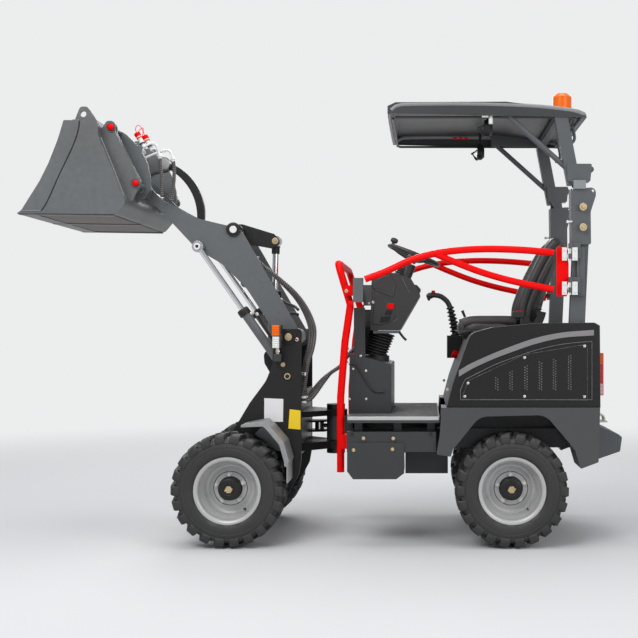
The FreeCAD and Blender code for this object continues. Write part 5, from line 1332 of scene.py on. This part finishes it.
def make_step_details():
    """Bolts and dark discs for the holes in the sills, painted shade in their openings, and three rows of
    teeth on each step.
    """
    bolts = Piece("step_bolts", "rear_frame", "pin_steel", BRASS)
    holes = Piece("sill_holes_painted_shade", "rear_frame", "black_paint", SHADE_BLACK)
    step_low, step_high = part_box("entry_steps")
    for side in (LEFT, RIGHT):
        face = side * step_high.y * 1000
        for x, z in ((-180, 557), (-330, 557), (-130, 498), (-326, 502)):
            bolts.bolt(mm(x, side * 500, z), Y * side, 9)
        # each hole is a flat near-black disc on the sill: painted shade for the opening
        for x in (-122, -520):
            holes.turned([(0, 8), (1.0, 8), (1.0, 0)], mm(x, side * 500, 578), Y * side, 20)
        teeth = Piece("step_teeth_" + ("left" if side > 0 else "right"), "rear_frame", "machine_grey", GREY)
        for row in range(3):
            x, k = -112, 0
            while x > step_low.x * 1000 + 12:
                y0 = face - side * (14 + row * 22 + (4 if k % 2 else 0))
                teeth.turned([(0, 5.2), (2.6, 4.4), (3.2, 3.2), (1.0, 2.6), (1.0, 0)],
                             mm(x, y0, step_high.z * 1000), Z, 10, loose=True)
                x -= 14
                k += 1
        teeth.done()
    bolts.done()
    holes.done()


# ---------------------------------------------------------------- console, dash and levers

def make_console_details():
    """The console's bolts and the cable down its left side."""
    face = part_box("console")[1].y * 1000
    bolts = Piece("console_bolts", "rear_frame", "pin_steel", ZINC)
    for side in (LEFT, RIGHT):
        for x, z in ((-90, 1006), (-154, 968), (-84, 936), (-115, 900), (-182, 889), (-96, 742), (-183, 742)):
            bolts.bolt(mm(x, side * face, z), Y * side, 6.5, head=0.5)
    bolts.done()
    cable = Piece("console_cable", "rear_frame", "hose_rubber", HOSE)
    cable.bar(resample(spline([mm(-92, face + 4, 925), mm(-130, face + 6, 922), mm(-162, face + 6, 868),
                               mm(-222, face + 6, 785), mm(-282, face + 4, 782)], 10), 0.008), 4.5, 10)
    cable.done()


def make_latch_details():
    """A bolt and a red bracket on each latch box."""
    box_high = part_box("latch_boxes")[1]
    brass = Piece("latch_bolts", "rear_frame", "pin_steel", BRASS)
    lugs = Piece("latch_brackets", "rear_frame", "red_paint", RED)
    for side in (LEFT, RIGHT):
        y = side * box_high.y * 1000
        brass.bolt(mm(-92, y, 1300), Y * side, 9)
        a, b = sorted((y - side * 26, y - side * 2))
        lugs.block((-128, a, 1228), (-102, b, 1250))
    brass.done()
    lugs.done(bevel=3, segments=3)


def make_dash_details():
    """Side panels with their switches, the frame round them and two plugs."""
    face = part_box("dash")[1].y * 1000
    panel = Piece("dash_fascia", "rear_frame", "black_plastic", PLASTIC)
    trim = Piece("dash_trim", "rear_frame", "machine_grey", GREY)
    switch = Piece("dash_switches", "rear_frame", "black_plastic", BLACK)
    red = Piece("dash_switch_red", "rear_frame", "red_paint", RED)
    lamp = Piece("dash_connectors", "rear_frame", "pin_steel", ZINC)
    for side in (LEFT, RIGHT):
        y0, y1 = span(side, face - 2, face + 3.5)
        panel.sheet([(-210, 1290), (-280, 1284), (-318, 1262), (-300, 1195), (-262, 1135), (-214, 1190)],
                    (y0, y1))
        y0, y1 = span(side, face + 2, face + 9)
        red.sheet([(-291, 1246), (-327, 1243), (-318, 1212), (-284, 1219)], (y0, y1))
        switch.sheet([(-284, 1212), (-318, 1206), (-308, 1184), (-276, 1186)], (y0, y1))
        switch.sheet([(-256, 1176), (-306, 1178), (-298, 1150), (-250, 1142)], (y0, y1))
        lamp.drum(mm(-212, side * (face + 1), 1250), Y * side, 8, 9, 1.5, 20)
        lamp.drum(mm(-190, side * (face + 1), 1244), Y * side, 6, 7, 1.5, 20)
        y0, y1 = span(side, face - 3, face + 4)
        for a, b in (((-216, 1342), (-276, 1388)), ((-276, 1388), (-318, 1330)), ((-318, 1330), (-318, 1302)),
                     ((-318, 1302), (-248, 1326)), ((-248, 1326), (-216, 1342))):
            trim.bar([mm(a[0], side * (face + 1), a[1]), mm(b[0], side * (face + 1), b[1])], 3.2, 8)
        trim.sheet([(-213, 1098), (-352, 1098), (-352, 1084), (-213, 1084)], (y0, y1))
    panel.done(bevel=1.5)
    trim.done()
    switch.done(bevel=2)
    red.done(bevel=2)
    lamp.done()


# ---------------------------------------------------------------- steering, levers and bellows

def make_bellows():
    """A leaning gaiter under the dash, with ribbed folds and a thin light ring on each crest as a painted
    highlight.
    """
    foot, top = mm(-216, 0, 958), mm(-254, 0, 1092)
    axis = top - foot
    run = axis.length * 1000
    profile = [(0, 0), (0, 60)]
    count = 9
    for k in range(count):
        base = run * k / count
        size = 58 + 15 * k / count
        profile += [(base + 1, size - 7), (base + run / count * 0.55, size + 3), (base + run / count * 0.72,
                                                                                  size + 3)]
    profile += [(run, 68), (run, 0)]
    piece = Piece("bellows_folds", "rear_frame", "boot_rubber", BOOT)
    piece.turned(profile, foot, axis, 48)
    obj = piece.done(smooth=50)
    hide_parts("bellows")
    crest_highlights = Piece("bellows_crest_highlights", "rear_frame", "boot_rubber", PAINTED_HIGHLIGHT_EDGE)
    # a thin ring in the light edge colour on each fold's crest: painted highlight
    for k in range(count):
        base = run * (k + 0.64) / count
        size = 61 + 15 * k / count
        crest_highlights.turned([(base - 1, size - 2), (base - 1, size + 0.8), (base + 1, size + 0.8),
                     (base + 1, size - 2)], foot, axis, 48, loose=True)
    crest_highlights.done()


def make_joystick():
    """A bent grip with two buttons over a ribbed boot, a small lever and the red knob below."""
    grip = Piece("joystick_grip", "rear_frame", "black_plastic", PLASTIC)
    line = spline([mm(x, -327, z) for x, z in ((-506, 1289), (-520, 1300), (-548, 1303), (-584, 1294),
                                               (-618, 1266), (-636, 1232))], 8)
    size = [15 + 4 * math.sin(math.pi * min(1, i / 14)) for i in range(len(line))]
    grip.bar(line, size, 20)
    grip.turned([(0, 0), (0, 13), (5, 16), (11, 16.5), (15, 13), (15, 0)], line[0] + mm(4, 0, -6),
                mm(-1, 0, 0.45), 20)
    obj = grip.done(smooth=60, bevel=0)
    button = Piece("joystick_button", "rear_frame", "red_paint", RED)
    button.drum(mm(-538, -322, 1316), Z, 11, 14, 2, 20)
    button.done()
    boot = Piece("joystick_boot", "rear_frame", "boot_rubber", BOOT)
    foot, top = mm(-672, -327, 1066), mm(-634, -327, 1238)
    axis, run = top - foot, (top - foot).length * 1000
    profile = [(0, 0), (0, 34)]
    for k in range(8):
        base, size = run * k / 8, 32 - 1.2 * k
        profile += [(base + 2, size - 12), (base + run / 8 * 0.45, size), (base + run / 8 * 0.62, size)]
    profile += [(run, 14), (run, 0)]
    boot.turned(profile, foot, axis, 36)
    boot.done(smooth=50)
    lever = Piece("aux_lever", "rear_frame", "black_plastic", PLASTIC)
    lever.bar([mm(-728, -327, 1120), mm(-722, -327, 1176), mm(-706, -327, 1214)], [6, 7, 9], 12)
    lever.done()
    knob = Piece("red_knob", "rear_frame", "red_paint", RED)
    knob.turned([(0, 0), (0, 12), (8, 14), (14, 22), (34, 24), (40, 20), (42, 0)], mm(-684, -262, 952),
                mm(0.85, 0, 0.35), 10)
    knob.turned([(-30, 9), (2, 9), (2, 0)], mm(-684, -262, 952), mm(0.85, 0, 0.35), 16)
    knob.done(smooth=25, bevel=1.5)
    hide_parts("joystick")


def make_dash_form():
    """Raised wings, column collar, side block and knobs on the dash, with light lines along the edges as
    painted highlights.
    """
    wing = Piece("dash_wing", "rear_frame", "black_plastic", PLASTIC)
    for side in (LEFT, RIGHT):
        y0, y1 = span(side, 120, 158)
        wing.sheet([(-206, 1330), (-214, 1362), (-262, 1392), (-306, 1396), (-330, 1352), (-318, 1282),
                    (-224, 1318)], (y0, y1))
        y0, y1 = span(side, 148, 155)
        wing.sheet([(-222, 1296), (-236, 1302), (-312, 1262), (-332, 1210), (-322, 1150), (-250, 1128),
                    (-204, 1134)], (y0, y1))
    wing.done(bevel=5, segments=3)
    block = Piece("dash_side_block", "rear_frame", "black_plastic", PLASTIC)
    block.sheet([(-408, 1350), (-446, 1346), (-468, 1322), (-452, 1288), (-410, 1290)], (-110, 110))
    block.turned([(0, 0), (0, 15), (12, 16), (18, 13), (18, 0)], mm(-404, 0, 1262), mm(-1, 0, -0.4), 20)
    block.bar([mm(-350, 60, 1090), mm(-372, 60, 1062), mm(-388, 60, 1046)], [7, 6.5, 7], 12)
    block.done(bevel=4, segments=3)
    collar = Piece("column_boot", "rear_frame", "boot_rubber", BOOT)
    profile = [(0, 0), (0, 46)]
    for k in range(4):
        profile += [(8 + k * 13, 44 - k * 4), (12 + k * 13, 37 - k * 4), (17 + k * 13, 36 - k * 4)]
    profile += [(62, 24), (62, 0)]
    collar.turned(profile, mm(-352, 0, 1392), mm(-0.42, 0, 0.9), 32)
    collar.done(smooth=50)
    edge = Piece("dash_edge_highlights", "rear_frame", "black_plastic", PAINTED_HIGHLIGHT_EDGE)
    # thin bars in the light edge colour along the wings' edges: painted highlight
    for side in (LEFT, RIGHT):
        for y, spots in ((156, ((-300, 1392), (-328, 1348), (-318, 1284), (-224, 1320))),
                         (151, ((-366, 1384), (-392, 1330), (-410, 1300))),
                         (151, ((-310, 1148), (-330, 1152), (-344, 1162)))):
            edge.bar([mm(x, side * y, z) for x, z in spots], 1.8, 8)
    edge.done()


# ---------------------------------------------------------------- guards, posts and canopy

GUARD_TOP = [(-186, 1360), (-287, 1397), (-381, 1441), (-453, 1468), (-548, 1491), (-662, 1506), (-768, 1512),
             (-870, 1512), (-1002, 1506), (-1158, 1492)]
GUARD_LOW = [(-548, 1486), (-632, 1450), (-755, 1402), (-879, 1364), (-1002, 1335), (-1158, 1304)]


def make_guards():
    """Side bars bent in one long sweep, on a plate with two leaf hinges."""
    for side, name in SIDES:
        body, y = "side_guard_" + name, side * 480
        bars = Piece("guard_bars_" + name, body, "red_paint", RED_BAR)
        bars.bar(resample(spline([mm(x, y, z) for x, z in GUARD_TOP], 8), 0.02), 17.5, 24)
        bars.bar(resample(spline([mm(x, y, z) for x, z in GUARD_LOW], 8), 0.02), 17.0, 24)
        obj = bars.done(smooth=50)
        plate = Piece("guard_plate_" + name, body, "red_paint", RED)
        y0, y1 = span(side, 474, 484)
        plate.sheet([(-1154, 1524), (-1206, 1522), (-1214, 1500), (-1208, 1478), (-1216, 1440), (-1216, 1350),
                     (-1208, 1322), (-1214, 1296), (-1206, 1273), (-1154, 1273)], (y0, y1))
        plate.done(bevel=1.5)
        leaves = Piece("guard_leaf_" + name, body, "pin_steel", WHITE)
        fixed = Piece("post_leaf_" + name, "rear_frame", "pin_steel", WHITE)
        for low, high in ((1452, 1518), (1280, 1346)):
            y0, y1 = span(side, 482, 517)
            leaves.block((-1200, y0, low + 4), (-1184, y1, high - 4))
            for part, x0, x1 in ((leaves, -1202, -1178), (fixed, -1256, -1229)):
                y0, y1 = span(side, 516, 520)
                part.block((x0, y0, low), (x1, y1, high))
                for z in (low + 14, high - 14):
                    part.bolt(mm((x0 + x1) / 2, side * 520, z), Y * side, 5.5, washer=1.6, head=0.6)
            fixed.drum(mm(-1222, side * 505, low), Z, 5.5, high - low, 1, 16)
        leaves.done()
        fixed.done()
        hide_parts("side_guard_" + name)


def make_post_details():
    """Nuts on the fold's pins, a raised plate on each post and the lynch pins."""
    bolts = Piece("post_bolts", "rear_frame", "pin_steel", BRASS)
    for side in (LEFT, RIGHT):
        for z in (1722, 1620):
            washer_and_nut(bolts, mm(-1285, side * 515, z), Y * side, 19, 9)
    bolts.done(smooth=30)
    plate = Piece("post_plate", "rear_frame", "machine_grey", POST)
    pins = Piece("lynch_pins", "rear_frame", "pin_steel", WHITE)
    for side in (LEFT, RIGHT):
        y0, y1 = span(side, 486, 491)
        plate.block((-1296, y0, 1276), (-1256, y1, 1522))
        y0, y1 = span(side, 488, 494)
        plate.block((-1280, y0, 1286), (-1272, y1, 1512))
        pins.bar([mm(-1232, side * 500, 1650), mm(-1206, side * 500, 1648)], 4, 10)
        pins.bar([mm(-1208, side * 500, 1642), mm(-1208, side * 500, 1656)], 5.5, 10)
    plate.done(bevel=1.5)
    pins.done()


def make_post_sleeves():
    """A short sleeve round each upper post, over the fold's clearance."""
    sleeve = Piece("post_sleeves", "canopy", "machine_grey", SLEEVE)
    for side in (LEFT, RIGHT):
        y0, y1 = span(side, 486, 506)
        sleeve.block((-1300, y0, 1814), (-1238, y1, 1858))
    sleeve.done(bevel=2)


def make_roof_edge():
    """The light rim round the roof's top and the lip round its open underside."""
    rim = Piece("roof_rim", "canopy", "roof_plastic", RIM_GREY)
    near = [(-318, 2216), (-340, 2234), (-380, 2243), (-590, 2246), (-822, 2244), (-1060, 2234),
            (-1240, 2213), (-1290, 2196)]
    side_y = 471
    line = [mm(x, side_y, z) for x, z in near] + [mm(-1298, 430, 2192), mm(-1298, 0, 2192),
                                                  mm(-1298, -430, 2192)]
    line += [mm(x, -side_y, z) for x, z in reversed(near)] + [mm(-310, -430, 2208), mm(-308, 0, 2208),
                                                              mm(-310, 430, 2208), mm(-318, side_y, 2216)]
    rim.bar(resample(spline(line, 8), 0.03), 12, 20)
    rim.done(smooth=60)
    lip = Piece("roof_lip", "canopy", "roof_plastic", ROOF)
    low_line = [mm(-338, 452, 2184), mm(-1230, 456, 2184), mm(-1262, 430, 2183), mm(-1262, -430, 2183),
                mm(-1230, -456, 2184), mm(-338, -452, 2184), mm(-328, -430, 2184), mm(-328, 430, 2184),
                mm(-338, 452, 2184)]
    lip.bar(resample(low_line, 0.04), 6.5, 12)
    lip.done()


def make_canopy_fittings():
    """The ball mount, the lamps' wires and plugs, and two hooks at the back."""
    mount = Piece("ball_mount", "canopy", "pin_steel", WHITE)
    mount.turned([(0, 0), (0, 11), (60, 11), (66, 8), (70, 8), (72, 12), (78, 16.5), (86, 18), (94, 16.5),
                  (101, 11), (104, 0)], mm(-824, 452, 2150), Z, 24)
    mount.drum(mm(-812, 462, 2188), X, 8, 34, 1.5, 6)
    mount.done(smooth=40)
    wires = Piece("lamp_wires", "canopy", "hose_rubber", HOSE)
    for y, x in ((400, -812), (-400, -812)):
        for k in range(3):
            spots = [(x + 6 - 9 * k, y + 4 * k, 2176), (x + 22 + 12 * k, y + 8, 2150 - 9 * k),
                     (x + 44, y - 6 + 5 * k, 2138), (x + 20, y - 12, 2112 - 6 * k), (x - 4, y, 2120)]
            wires.bar(resample(spline([mm(*s) for s in spots], 8), 0.006), 3.4, 8)
    wires.done()
    plugs = Piece("lamp_plugs", "canopy", "red_paint", RED)
    for x0 in (-742, -710, -676):
        plugs.bar([mm(x0, -396, 2226), mm(x0 + 22, -396, 2227)], 6.5, 8)
    plugs.done()
    hoop = Piece("rear_hoop", "canopy", "machine_grey", POST)
    spots = [(-1256, 2176), (-1266, 2140), (-1270, 2098), (-1252, 2076), (-1236, 2072)]
    for y in (-300, 300):
        hoop.bar(resample(spline([mm(x, y, z) for x, z in spots], 8), 0.008), 8, 14)
    hoop.done()


def make_rear_hook():
    """Two round loops on a plate at the tail."""
    loops = Piece("tow_loops", "rear_frame", "pin_steel", ZINC)
    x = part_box("counterweight")[0].x * 1000
    loops.block((x + 44, -52, 598), (x + 108, 52, 605))
    for y in (-26, 26):
        loops.bar(resample(spline([mm(x + 56, y, 603), mm(x + 60, y, 628), mm(x + 76, y, 640),
                                   mm(x + 92, y, 628), mm(x + 96, y, 603)], 8), 0.006), 5.5, 12)
    loops.done(smooth=40)


def make_steering_wheel():
    """A padded rim on three spokes, with a spinner knob."""
    tilt = math.radians(22)
    axis = Vector((-math.sin(tilt), 0, math.cos(tilt)))
    ahead = Vector((math.cos(tilt), 0, math.sin(tilt)))
    centre = mm(-418, 0, 1487) + axis * 0.028
    wheel = Piece("steering_rim", "steering_wheel", "black_plastic", PLASTIC)
    wheel.turned([(r * math.sin(t), 143 + 12 * math.cos(t)) for r, t in
                  ((12, 2 * math.pi * i / 16) for i in range(17))], centre, axis, 72, loose=True)
    for k in range(3):
        turn = 2 * math.pi * k / 3
        out = ahead * math.cos(turn) + Y * math.sin(turn)
        wheel.bar([centre - axis * 0.026 + out * 0.02, centre - axis * 0.016 + out * 0.08,
                   centre + out * 0.138], [12, 10, 8], 14)
    wheel.turned([(-44, 0), (-44, 24), (-20, 30), (-8, 28), (-4, 22), (-3, 0)], centre, axis, 32)
    knob = centre + ahead * 0.128 + Y * 0.03
    wheel.bar([knob, knob + axis * 0.026], 8, 12)
    wheel.turned([(18, 0), (19, 12), (25, 20), (37, 21), (45, 16), (49, 0)], knob, axis, 24)
    obj = wheel.done(smooth=50)
    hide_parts("steering_wheel")


# ---------------------------------------------------------------- all together

make_camera()
make_lights()
make_floor()
dress_nodes()
make_wheels()
make_hoses()
make_hose_holders()
make_tilt_ports()
make_coupler_pipes()
make_couplings()
make_lock_pins()
make_bucket_sides()
make_bucket_floor()
make_boom_pins()
make_linkage_pins()
make_lift_cylinders()
make_tilt_cylinder()
make_tower_details()
make_front_lamps()
make_cushion()
make_backrest()
make_seat_mount()
make_belt()
make_hood_details()
make_hood_hinge_bolts()
make_rear_details()
make_floor_details()
make_step_details()
make_console_details()
make_latch_details()
make_dash_details()
make_bellows()
make_joystick()
make_dash_form()
make_guards()
make_post_details()
make_post_sleeves()
make_roof_edge()
make_canopy_fittings()
make_rear_hook()
make_steering_wheel()
